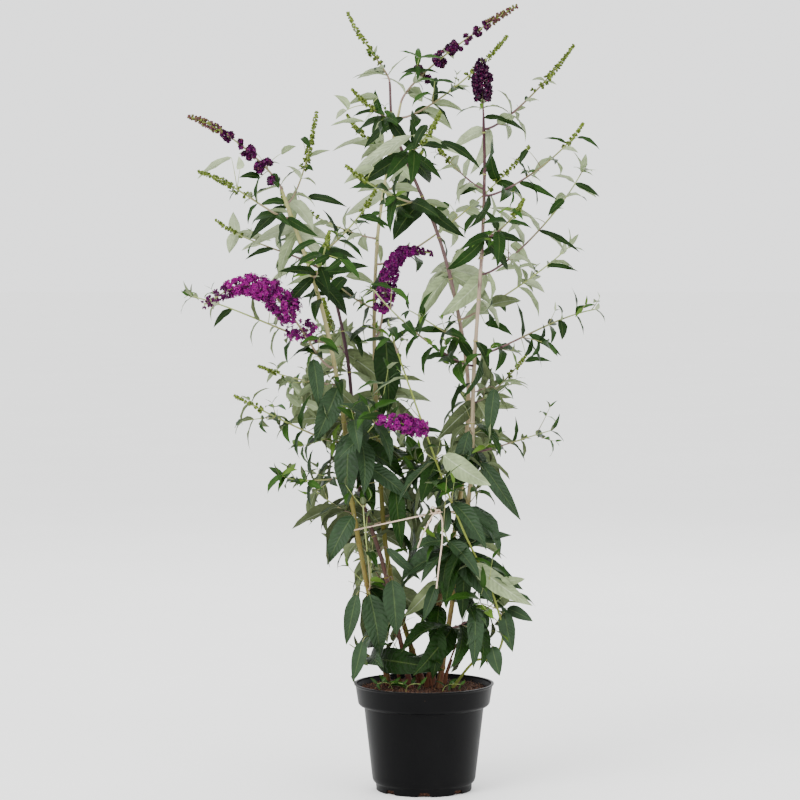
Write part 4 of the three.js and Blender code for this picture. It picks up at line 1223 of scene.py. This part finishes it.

# Large old leaves that hang from the canes at the front: each by its root and its tip as across and
# height, how far forward it hangs, its width, and 1 where it shows its back, or more for a set felt tone,
# which fixes how much painted shade its felt has in place of the tone by height.
HUNG = [
    (-121, 590, -124, 470, -40, 43, 0), (-63, 741, -58, 619, 40, 46, 0), (-180, 711, -171, 631, -50, 26, 0),
    (-140, 664, -179, 573, -40, 38, 0), (-95, 537, -18, 478, -30, 30, 0), (-47, 504, -37, 399, -30, 28, 0),
    (21, 549, -5, 478, -64, 30, 0), (72, 596, 45, 491, -74, 26, 0), (113, 664, 103, 583, -74, 24, 0),
    (30, 560, 106, 512, -122, 36, 2), (92, 545, 156, 450, -66, 26, 0), (56, 465, 116, 414, -70, 48, 0),
    (50, 424, 35, 306, -66, 34, 0), (66, 380, 61, 288, -76, 26, 0), (80, 384, 174, 316, -104, 32, 2),
    (118, 352, 162, 358, -80, 16, 2), (21, 274, 13, 192, -66, 30, 0), (81, 315, 79, 212, -76, 28, 0),
    (130, 301, 143, 237, -66, 28, 0), (135, 304, 177, 283, -40, 20, 0), (22, 348, -34, 289, -30, 26, 1),
    (19, 343, -2, 284, -40, 20, 0), (-89, 327, -72, 225, -40, 42, 0), (-52, 352, -45, 261, -54, 38, 0),
    (-61, 401, -5, 348, -24, 16, 0), (-110, 327, -127, 245, -46, 26, 0), (-100, 253, -116, 188, -66, 24, 0),
    (110, 245, 122, 198, -66, 26, 0), (-116, 455, -158, 375, -36, 34, 0),
]
HANG = Sizes(bend=0.9, varied=(0.7, 0.6), fold=0.28, up=0.25, lean=14, below=8, roll=0.5)
draw = dice(SEED.finer, STREAM.hung)
for x, z, tip_x, tip_z, depth, width, back in HUNG:
    root = np.array((x, depth, z), float)
    tip = np.array((tip_x, depth - HANG.lean * draw(), tip_z), float)
    half = HANG.bend * chance(HANG.varied, draw) / 2
    front = np.array((HANG.roll * (draw() - 0.5), -1, HANG.up)) * (-1 if back else 1)
    leaf = arch(root, tip, front, half, fold=HANG.fold, width=width, young=0, hung=True,
                felt=back if back > 1 else None)
    near = {name: cane_at(name, z - HANG.below).at for name in CANES}
    name = min(near, key=lambda each: norm(near[each] - root))
    reach = norm(root - near[name])
    curve = bezier(near[name], (near[name] + root) / 2 + UP * 0.1 * reach, root - leaf.along * 0.2 * reach,
                   root + leaf.along)
    growth[name].leaves.append(leaf)
    growth[name].lines.append(Line(traced(curve, 9), radius=1, young=0.4, old=0.5))

# Young suckers that creep over the compost at the front: where each starts and where it points.
SUCKERS = [(-58, -30, -34, -78), (-52, -34, -76, -66), (-30, -56, -6, -84), (30, -58, 58, -80)]
SUCKER = Sizes(rise=17, varied=(0.6, 0.4), bow=18, leaf=22, sunk=2, clear=3, pairs=(0.35, 0.6, 0.82, 1))
draw = dice(SEED.finer, STREAM.suckers)
for *foot, x, y in SUCKERS:
    low = np.array((*foot, SOIL.top - SUCKER.sunk), float)
    high = np.array((x, y, SOIL.top + SUCKER.rise * chance(SUCKER.varied, draw)))
    spots = limb(bezier(low, low + UP * SUCKER.bow, high), SHOOT.steps)
    growth["left"].lines.append(Line([spot.at for spot in spots[::3]], radius=0.8, young=0.7, old=1))
    for k, share in enumerate(SUCKER.pairs):
        size = SUCKER.leaf * (1.1 - 0.5 * share)
        pair = leaf_pair("sucker", between(spots, share), k * pi / 2, size, draw)
        growth["left"].leaves += [leaf.but(young=0.4) for leaf in map(placed, pair)
                                  if on_leaf(leaf, 1, 0)[2] > SOIL.top + SUCKER.clear]

for number, name in enumerate(CANES):
    keep(growth[name], 0.1, *cane_growth(name, number))


def of_body(tree, name):
    return tree.Attribute(out="Fac", attribute_name=name)


def twig_finish(name, *stops):
    """Young bark, plum or brown where a twig leaves its cane and green towards its tip."""
    bark = Finish(name, 0.6, 0.3)
    bark.colour((bark.grain(60.0, 4.0) - 0.5) * 0.6 + of_body(bark, "age"), *stops)
    bark.relief(bark.grain(500.0, 3.0), 0.0003, 0.5)
    return bark.material


plum_twigs = twig_finish("plum_twigs", (0.0, 70, 44, 52), (0.4, 96, 70, 70), (0.7, 116, 120, 70),
                         (1.0, 140, 156, 96))
green_twigs = twig_finish("green_twigs", (0.0, 128, 104, 98), (0.3, 136, 122, 96), (0.6, 128, 138, 74),
                          (1.0, 146, 162, 96))
for name, group in growth.items():
    strands, girths, ages = [], [], []
    for path, radius, young, old in group.lines:
        shares = np.linspace(0, 1, len(path))
        strands.append(path)
        girths += list(radius * (1 - TWIG.thins * shares))
        ages += list(young + (old - young) * shares)
    shade = plum_twigs if name in ("dark", "tall") else green_twigs
    twigs = skinned(f"twigs_{name}", strands, girths, sides=7, relief=0.0002, bark=shade, age=ages)
    worn(twigs, "green_bark")

# ------------------------------------------------------------
# The leaves: lance-shaped, quilted between their sunk veins, folded at the rib and arching over.
# They are dark green and nearly smooth above, and covered in pale grey felt below.

BLADE = Sizes(small_below=38, thick=0.006, ripple=0.022, waves=14.0)
TOP_LIFT = {-1: 0, -0.5: 1.4, 0: 0.2, 0.5: 1.4, 1: 0}
UNDER_LIFT = {-0.5: 0.4, 0: -0.8, 0.5: 0.4}
GREENS = [(15, 37, 6), (21, 47, 8), (35, 65, 15), (70, 96, 32), (112, 134, 54), (33, 54, 29)]
BLUISH = 5
# Felt tones from dark to pale: lit and shaded copies of one felt, dealt by height as painted shade.
FELTS_SHADED_TO_LIT = [(78, 88, 58), (102, 114, 78), (132, 146, 108), (152, 164, 130)]
TONE = Sizes(low=700, spread=1.8, young=2.6, bluish=0.6, large=60, fresh_below=42)


def pattern(name, points, faces, **values):
    """A small mesh to be laid many times, in its own units, with named values of its faces."""
    mesh = bpy.data.meshes.new(name)
    mesh.from_pydata(points, [], faces)
    for label, value in values.items():
        mesh.attributes.new(label, "FLOAT", "FACE").data.foreach_set("value", value)
    return bpy.data.objects.new(name, mesh)


def blade(name, stations, across):
    """A flat pattern of a leaf: where each point is along it and across it, on top or below."""
    points = [(0.0, 0.0, 0.0, 0.0)]
    tops, bottoms = [], []
    for share in stations[1:-1]:
        start, count = len(points), len(across)
        full = sin(pi * share**0.66) ** 0.92
        points += [(share, a * full, a, TOP_LIFT[a] * full) for a in across]
        points += [(share, a * full, a, UNDER_LIFT[a] * full) for a in across[1:-1]]
        tops.append(list(range(start, start + count)))
        bottoms.append([start, *range(start + count, start + 2 * count - 2), start + count - 1])
    tip = len(points)
    points.append((1.0, 0.0, 0.0, 0.0))
    faces, under = [], []
    for strip, below in ((tops, False), (bottoms, True)):
        made = [(0, b, a) for a, b in zip(strip[0], strip[0][1:])]
        for low, high in zip(strip, strip[1:]):
            made += [(low[k], low[k + 1], high[k + 1], high[k]) for k in range(len(low) - 1)]
        made += [(a, b, tip) for a, b in zip(strip[-1], strip[-1][1:])]
        faces += [(face[0], *reversed(face[1:])) for face in made] if below else made
        under += [float(below)] * len(made)
    leaf = pattern(name, [(a * 0.1, way, lift * 0.01) for way, a, _, lift in points], faces, under=under)
    for label, values in zip(("way", "across", "edge", "lift"), zip(*points)):
        leaf.data.attributes.new(label, "FLOAT", "POINT").data.foreach_set("value", values)
    on_rim = [abs(edge) > 0.99 or way in (0, 1) for way, _, edge, _ in points]
    rim = [all(on_rim[v] for v in edge.vertices) for edge in leaf.data.edges]
    leaf.data.attributes.new("sharp_edge", "BOOLEAN", "EDGE").data.foreach_set("value", rim)
    return leaf


def chosen(tree, geometry, finishes, tone, among):
    """Deals finishes to faces by their tone, among those that a second value picks out."""
    for k, finish in enumerate(finishes):
        match = tree.own(tone).maths("COMPARE", float(k), 0.5) * among
        geometry = tree.dressed(geometry, finish, Selection=match)
    return geometry


def leaf_finish(name, shade, veins, roughness, specular, depth):
    """A leaf's surface: quilted between side veins that sweep forward from the rib to the edge, with painted
    shade darkening the sunk side veins of large leaves.
    """
    skin = Finish(name, roughness, specular)
    way, edge = of_body(skin, "way"), of_body(skin, "edge").maths("ABSOLUTE")
    slant = skin.grain(70.0, 2.0) * 1.8 + (way * 12.0 - edge * 1.7)
    step = dict(interpolation_type="SMOOTHSTEP")
    side_vein = skin.MapRange(Value=slant.maths("PINGPONG", 0.5), From_Max=0.45, **step)
    rib = skin.MapRange(Value=edge, From_Min=0.02, From_Max=0.09, **step)
    pale = side_vein * 0.07 + rib * 0.93
    mottle = skin.MapRange(Value=skin.grain(60.0, 4.0), From_Min=0.3, From_Max=0.7, To_Min=0.8, To_Max=1.2)
    large = skin.MapRange(Value=of_body(skin, "length"), From_Min=0.045, From_Max=0.12)
    base = skin.Mix(pale, at={6: veins, 7: shade}, out=2, data_type="RGBA")
    # On large leaves the side veins are darkened by up to 22 per cent: painted shade in their sunk lines, on
    # top of the random mottle.
    skin.feed("Base Color", base.scaled(mottle * (1.0 - (1.0 - side_vein) * (large * 0.22))))
    skin.relief(side_vein * rib * large, depth, 0.7)
    return skin.material


def mixed(a, b, share):
    return tuple((1 - share) * p + share * q for p, q in zip(a, b))


tops, felts = [], []
for k, shade in enumerate(tint(*green) for green in GREENS):
    veins, specular = mixed(shade, tint(140, 160, 90), 0.12), 0.2 if k == BLUISH else 0.1
    tops.append(leaf_finish(f"leaf_green_{k}", shade, veins, 0.5, specular, 0.0013))
# The felt materials are one felt in steps of painted shade.
for k, shade in enumerate(tint(*felt) for felt in FELTS_SHADED_TO_LIT):
    veins = mixed(shade, tint(205, 215, 190), 0.3)
    felts.append(leaf_finish(f"leaf_felt_{k}", shade, veins, 0.9, 0.08, 0.0005))

# A blade is put on each point, then bent, folded and rippled as the point's values say.
grown = Growth("leaves on points", Blade="Object", Small_Blade="Object", Small_Below="Float",
               Thick="Float", Ripple="Float", Waves="Float")
given = grown.given
length, bend = grown.own("length"), grown.own("bend")
small = length.maths("LESS_THAN", given.Small_Below)
both = grown.JoinGeometry()
for label, pick in (("Blade", 1.0 - small), ("Small_Blade", small)):
    laid = grown.strewn(label, Points=given.Geometry, Selection=pick)
    grown.tree.links.new(laid.socket, both.socket.node.inputs[0])
way, across, half = grown.own("way"), grown.own("across"), grown.own("width") * 0.5
along, over = grown.own("along", "FLOAT_VECTOR"), grown.own("over", "FLOAT_VECTOR")
turn, by_bend = bend * way, length.maths("DIVIDE", bend)
sine, cosine = turn.maths("SINE"), turn.maths("COSINE")
spread = across.maths("ABSOLUTE")
phase = across.maths("SIGN") * 1.3 + grown.own("phase")
ripple = (way * given.Waves + phase).maths("SINE") * spread * given.Ripple * length
height = spread * grown.own("fold") * half + grown.own("lift") * given.Thick * length + ripple
face = over.scaled(cosine).moved(along.scaled(sine))
side = grown.VectorMath(along, over, operation="CROSS_PRODUCT")
reach, sink = along.scaled(sine * by_bend), over.scaled((cosine - 1.0) * by_bend)
place = grown.own("root", "FLOAT_VECTOR").moved(reach, sink, face.scaled(height), side.scaled(across * half))
bent = grown.SetPosition(Geometry=grown.real(both), Position=place)
bent = chosen(grown, bent, tops, "tone", 1.0 - grown.own("under"))
grown.close(chosen(grown, bent, felts, "felt", grown.own("under")))


def tone_of(leaf, draw):
    """A leaf's green: dark on most, light where it is young, and bluish on the large ones low down."""
    large = leaf.length > TONE.large and leaf.root[2] < TONE.low
    if (large or leaf.hung) and draw() < TONE.bluish:
        return BLUISH
    tone = TONE.young * leaf.young + TONE.spread * (draw() - 0.4)
    lightest = BLUISH - 1 if leaf.length < TONE.fresh_below else 2
    return min(lightest, max(0, round(tone)))


def felt_with_painted_shade(leaf, draw):
    """The felt below a leaf, as painted light and shade by height: pale up the crown where light falls, and a
    darker grey-green low down where shade falls.
    """
    felt = up_crown(leaf.root[2]) * 2.2 + 1.6 * draw()
    return min(len(FELTS_SHADED_TO_LIT) - 1, int(leaf.felt or felt))


fine_blade = blade("fine blade", (0, 0.07, 0.18, 0.32, 0.48, 0.65, 0.83, 1), (-1, -0.5, 0, 0.5, 1))
small_blade = blade("small blade", (0, 0.12, 0.36, 0.62, 0.84, 1), (-1, 0, 1))
for number, (name, group) in enumerate(growth.items()):
    leaves = group.leaves
    draw = dice(SEED.leaves, number)
    values = {what: [getattr(leaf, what) for leaf in leaves] for what in ("along", "over", "bend", "fold")}
    values |= {what: [getattr(leaf, what) * MM for leaf in leaves] for what in ("root", "length", "width")}
    values["phase"] = [draw() * 6.28 for leaf in leaves]
    values["tone"] = [tone_of(leaf, draw) for leaf in leaves]
    values["felt"] = [felt_with_painted_shade(leaf, draw) for leaf in leaves]
    spots = things([leaf.root for leaf in leaves], **values)
    piece = made_by(grown, spots, f"leaves_{name}", Blade=fine_blade, Small_Blade=small_blade,
                    Small_Below=BLADE.small_below * MM, Thick=BLADE.thick, Ripple=BLADE.ripple,
                    Waves=BLADE.waves)
    piece.data.shade_smooth()
    worn(piece, "foliage", *(shoot.node for shoot in shoots if shoot.on == name))

# ------------------------------------------------------------
# The flower buds: most shoots end in a slim green spike, still closed, whose whorls of round buds
# stand close together and grow smaller up to its tip.

BEAD = Sizes(sides=5, foot=-0.9, low=(-0.2, 0.75), high=(0.9, 0.8), tip=1.7)
SPIKE = Sizes(spacing=4.6, close=0.72, knobs=4, beads=6, bead=2.2, full=1.55, taper=0.5, lean=0.7,
              missing=0.34, jitter=0.35, out=(0.65, 0.7), size=(0.7, 0.5))


def bead():
    """A closed bud, longer than it is wide, that stands on +Z."""
    points = [(0, 0, BEAD.foot)]
    n = BEAD.sides
    for height, radius in (BEAD.low, BEAD.high):
        turns = [k * 2 * pi / n for k in range(n)]
        points += [(radius * cos(a), radius * sin(a), height) for a in turns]
    points.append((0, 0, BEAD.tip))
    pairs = [(k, (k + 1) % n) for k in range(n)]
    faces = [(0, 1 + b, 1 + a) for a, b in pairs]
    faces += [(1 + a, 1 + b, 1 + n + b, 1 + n + a) for a, b in pairs]
    return pattern("bud", points, faces + [(2 * n + 1, 1 + n + a, 1 + n + b) for a, b in pairs])


def small_things(name, finishes, eye_finish=None):
    """Sets one small thing on each point, turned to its axis, in the finish of its tone."""
    tree = Growth(name, Thing="Object")
    axis, cheek = tree.own("axis", "FLOAT_VECTOR"), tree.own("cheek", "FLOAT_VECTOR")
    facing = tree.AxesToRotation(Primary_Axis=axis, Secondary_Axis=cheek, primary_axis="Z",
                                 secondary_axis="X")
    laid = tree.strewn("Thing", Points=tree.given.Geometry, Rotation=facing, Scale=tree.own("size"))
    dressed = chosen(tree, tree.real(laid), finishes, "tone", 1.0)
    if eye_finish:
        dressed = tree.dressed(dressed, eye_finish, Selection=tree.own("eye"))
    tree.close(dressed)
    return tree


def petal_finish(name, shade, roughness=0.7):
    """Soft petal or bud, mottled darker and a little paler in patches from bud to bud."""
    petal, shade = Finish(name, roughness, 0.03), tint(*shade)
    patches = petal.grain(240.0, 3.0)
    petal.colour(patches, (0.3, *mixed(shade, tint(0, 0, 0), 0.3)), (0.5, *shade),
                 (0.75, *mixed(shade, tint(255, 255, 255), 0.05)))
    petal.relief(patches, 0.0003, 0.4)
    return petal.material


def around(spot, angle, forward):
    return unit(round_of(spot, angle) + spot.along * forward)


def some_way(draw):
    return np.array([draw() - 0.5 for _ in range(3)])


def laid_out(tree, things_there, name, thing, draw):
    """One piece of small things, each a place, an axis, a size and a tone."""
    places, axes, sizes, tones = zip(*things_there)
    cheeks = [unit(np.cross(axis, some_way(draw))) for axis in axes]
    spots = things(places, axis=axes, cheek=cheeks, size=np.array(sizes) * MM, tone=tones)
    return made_by(tree, spots, name, Thing=thing)


BUD_SHADES = [(66, 80, 26), (100, 116, 46), (70, 12, 62), (32, 2, 30), (84, 50, 54)]
bud_finishes = [petal_finish(f"bud_{k}", shade) for k, shade in enumerate(BUD_SHADES)]
bud_tree = small_things("buds on points", bud_finishes)
buds = {name: [] for name in CANES}
for number, shoot in enumerate(shoots):
    if shoot.end not in ("bud", "spike"):
        continue
    draw = dice(SEED.flowers, number)
    length, radius = ENDS[shoot.end]
    rows = int(length / SPIKE.spacing)
    for row in range(rows):
        share = min(1, ((row + SPIKE.jitter * (draw() - 0.5)) / (rows - 1)) ** SPIKE.close) if row else 0
        spot = between(shoot.spots, 1 - shoot.flower * (1 - share))
        spin = draw()
        for k in range(SPIKE.knobs):
            if draw() < SPIKE.missing * (1 - share):
                continue
            reach = radius * SPIKE.full * (1 - SPIKE.taper * share) * chance(SPIKE.out, draw)
            angle = (k + spin + 0.3 * draw()) * 2 * pi / SPIKE.knobs
            out = around(spot, angle, SPIKE.lean + share)
            knob = spot.at + out * reach * 0.55
            for _ in range(SPIKE.beads):
                axis = unit(out + some_way(draw) * 2)
                size = SPIKE.bead * (1 - 0.4 * share) * chance(SPIKE.size, draw)
                buds[shoot.on].append((knob + axis * reach * 0.3, axis, size, draw() < 0.3 + 0.4 * share))

# ------------------------------------------------------------
# The blossom: long spikes of small four-lobed florets, each on a thin tube and packed in round
# clusters about the stalk. They are magenta in full flower, and dark purple or brown past it.

FLORET = Sizes(throat=(0.26, 0), neck=(0.2, -0.14), foot=(0.13, -1.5), lobes=4, middle=(0.6, 0, 0.16),
               rim=((0.5, -0.36, 0.05), (0.94, -0.2, -0.06), (0.94, 0.2, -0.06), (0.5, 0.36, 0.05)))


class Panicle(Sizes):
    """A spike's rows, their clusters, the florets of each and their tones, and the clusters' sizes from
    foot to tip. It is in flower until a share of its way, and some rows of it may be missing."""

    open, until, missing, deep, late, gaps = 0.97, 0.8, 0.05, 0, 0, ()


PANICLES = {
    "great": Panicle(rows=19, clusters=6, florets=20, tones=(0, 0, 0), tip=2, missing=0.04, deep=0.4,
                     sizes=(1.15, 1, 0.86, 0.6, 0.34)),
    "loose": Panicle(rows=38, clusters=4, florets=22, tones=(1, 2, 2), tip=4, missing=0.22, late=0.25,
                     open=0.7, until=0.68, sizes=(1.5, 1.3, 0.85, 0.7, 0.4),
                     gaps=(2, 3, 4, 5, 6, 10, 11, 12, 16, 17, 20, 21, 24)),
    "dense": Panicle(rows=20, clusters=7, florets=14, tones=(0, 1, 1), tip=2,
                     sizes=(1.2, 1.05, 0.86, 0.6, 0.32)),
    "short": Panicle(rows=8, clusters=6, florets=20, tones=(0, 0, 1), tip=2, until=0.95, gaps=(0,),
                     sizes=(0.74, 0.86, 0.82, 0.7, 0.42)),
    "cone": Panicle(rows=12, clusters=5, florets=22, tones=(2, 2, 2), tip=3, missing=0.04, open=0.45,
                    sizes=(0.62, 0.84, 0.86, 0.62, 0.26)),
}
CLUSTER = Sizes(out=0.58, radius=0.4, spread=2.2, floret=3.8, bud=2.5, lean=0.3, stalk=0.55, least=7,
                ragged=0.36, varied=(0.8, 0.4), filled=(0.6, 0.4))


def floret():
    """An open floret that looks along +Z: an eye, four round lobes with some body, and a tube."""
    n = FLORET.lobes
    points = []
    for radius, height in (FLORET.throat, FLORET.neck, FLORET.foot):
        turns = [(k - 0.5) * 2 * pi / n for k in range(n)]
        points += [(radius * cos(a), radius * sin(a), height) for a in turns]
    throat, neck, foot = (list(range(k, k + n)) for k in (0, n, 2 * n))
    faces, lobes = [throat], []
    for k, after in enumerate([*range(1, n), 0]):
        a, first = k * 2 * pi / n, len(points)
        points += [(out * cos(a) - aside * sin(a), out * sin(a) + aside * cos(a), up)
                   for out, aside, up in (*FLORET.rim, FLORET.middle)]
        *rim, middle = range(first, len(points))
        edge = [throat[k], *rim, throat[after]]
        faces += [(*side, middle) for side in zip(edge, [*edge[1:], edge[0]])]
        faces.append([neck[after], *reversed(rim), neck[k]])
        lobes.append(rim)
    for k, after in enumerate([*range(1, n), 0]):
        faces += [(throat[k], neck[k], lobes[k][0]), (throat[k], lobes[k - 1][-1], neck[k]),
                  (neck[k], foot[k], foot[after], neck[after])]
    faces.append(list(reversed(foot)))
    return pattern("floret", points, faces, eye=[1.0] + [0.0] * (len(faces) - 1))


PETALS = [(112, 0, 96), (72, 0, 66), (40, 0, 34), (62, 24, 40)]
petals = [petal_finish(f"petal_{k}", shade, 0.6) for k, shade in enumerate(PETALS)]
floret_tree = small_things("florets on points", petals, petal_finish("floret_eye", (112, 26, 64)))
open_floret = floret()
stalk_finish = bark_finish("flower_stalks", 0.7, (0.0, 110, 96, 70), (1.0, 124, 112, 84))
for number, shoot in enumerate(shoots):
    if shoot.end not in PANICLES:
        continue
    plan = PANICLES[shoot.end]
    draw = dice(SEED.flowers, number + 200)
    florets, stalks = [], []
    for row in range(plan.rows):
        if row in (plan.gaps if shoot.gaps is None else shoot.gaps):
            continue
        share = (row + 0.5) / plan.rows
        small = float(np.interp(share, np.linspace(0, 1, 5), plan.sizes))
        reach = ENDS[shoot.end][1] * shoot.slim * small
        for k in range(plan.clusters):
            if draw() < plan.missing and share < plan.until:
                continue
            angle = (k + 0.38 * row + 0.5 * draw()) * 2 * pi / plan.clusters
            here = share + (draw() - 0.5) / plan.rows
            spot = between(shoot.spots, 1 - shoot.flower * (1 - here))
            out = around(spot, angle, CLUSTER.lean)
            middle = spot.at + out * reach * CLUSTER.out * chance(CLUSTER.varied, draw)
            stalks.append([spot.at, middle])
            for _ in range(max(CLUSTER.least, round(plan.florets * small))):
                axis = unit(out + some_way(draw) * CLUSTER.spread)
                place = middle + axis * reach * CLUSTER.radius * chance(CLUSTER.filled, draw)
                place = place + some_way(draw) * reach * CLUSTER.ragged
                tone = plan.tones[int(draw() * 3)]
                if share < plan.deep:
                    tone = int(draw() < 0.6)
                if share < plan.until and draw() < plan.open:
                    florets.append((place, axis, CLUSTER.floret * chance(CLUSTER.varied, draw), tone))
                else:
                    size = CLUSTER.bud * (1 - 0.4 * share) * chance(CLUSTER.varied, draw)
                    late = plan.tip if draw() < share * 1.2 else 2 + (tone == 2)
                    late = 1 if share > 0.6 and draw() < plan.late else late
                    buds[shoot.on].append((place - axis * size, axis, size, late))
    which = f"{shoot.on}_{shoot.at}"
    worn(laid_out(floret_tree, florets, f"blossom_{which}", open_floret, draw), "blossom")
    stalks = skinned(f"stalks_{which}", stalks, CLUSTER.stalk, sides=5, relief=0.0, bark=stalk_finish)
    worn(stalks, "green_bark")

bud = bead()
for number, (name, group) in enumerate(buds.items()):
    if group:
        piece = laid_out(bud_tree, group, f"buds_{name}", bud, dice(SEED.flowers, number + 300))
        piece.data.shade_smooth()
        worn(piece, "foliage")

# ------------------------------------------------------------
# A plain pale floor, a pale sky all round, and three soft lamps: a large one high on the left, a
# weaker one on the right, and one behind that rims the leaves.

WIDE = 40000
corners = [(-WIDE, -WIDE, 0), (WIDE, -WIDE, 0), (WIDE, WIDE, 0), (-WIDE, WIDE, 0)]
floor = shape("floor", corners, [(0, 1, 2, 3)])
pale = Finish("pale_floor", 0.9, 0.2)
pale.colour(pale.grain(2.0), (0.3, 250, 250, 249), (0.7, 253, 253, 252))
floor.data.materials.append(pale.material)
floor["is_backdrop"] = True

sky = bpy.data.worlds.new("pale_sky")
sky.use_nodes = True
sky.node_tree.nodes["Background"].inputs["Color"].default_value = (0.98, 0.985, 0.99, 1)
sky.node_tree.nodes["Background"].inputs["Strength"].default_value = 2.0
bpy.context.scene.world = sky
for name, place, size, power in (("key", (-2.4, -3.2, 3.4), 2.4, 190), ("fill", (3.0, -2.6, 1.6), 2.4, 40),
                                 ("rim", (0.6, 3.2, 2.8), 2.0, 50)):
    lamp = bpy.data.lights.new(name, "AREA")
    lamp.size = size
    lamp.energy = power
    stand = added(name, lamp)
    stand.location = place
    stand.rotation_euler = (Vector((0, 0, 0.65)) - stand.location).to_track_quat("-Z", "Y").to_euler()

sizes = {"cad": [list(corner) for corner in cad_box], "visual": [list(corner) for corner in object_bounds()]}
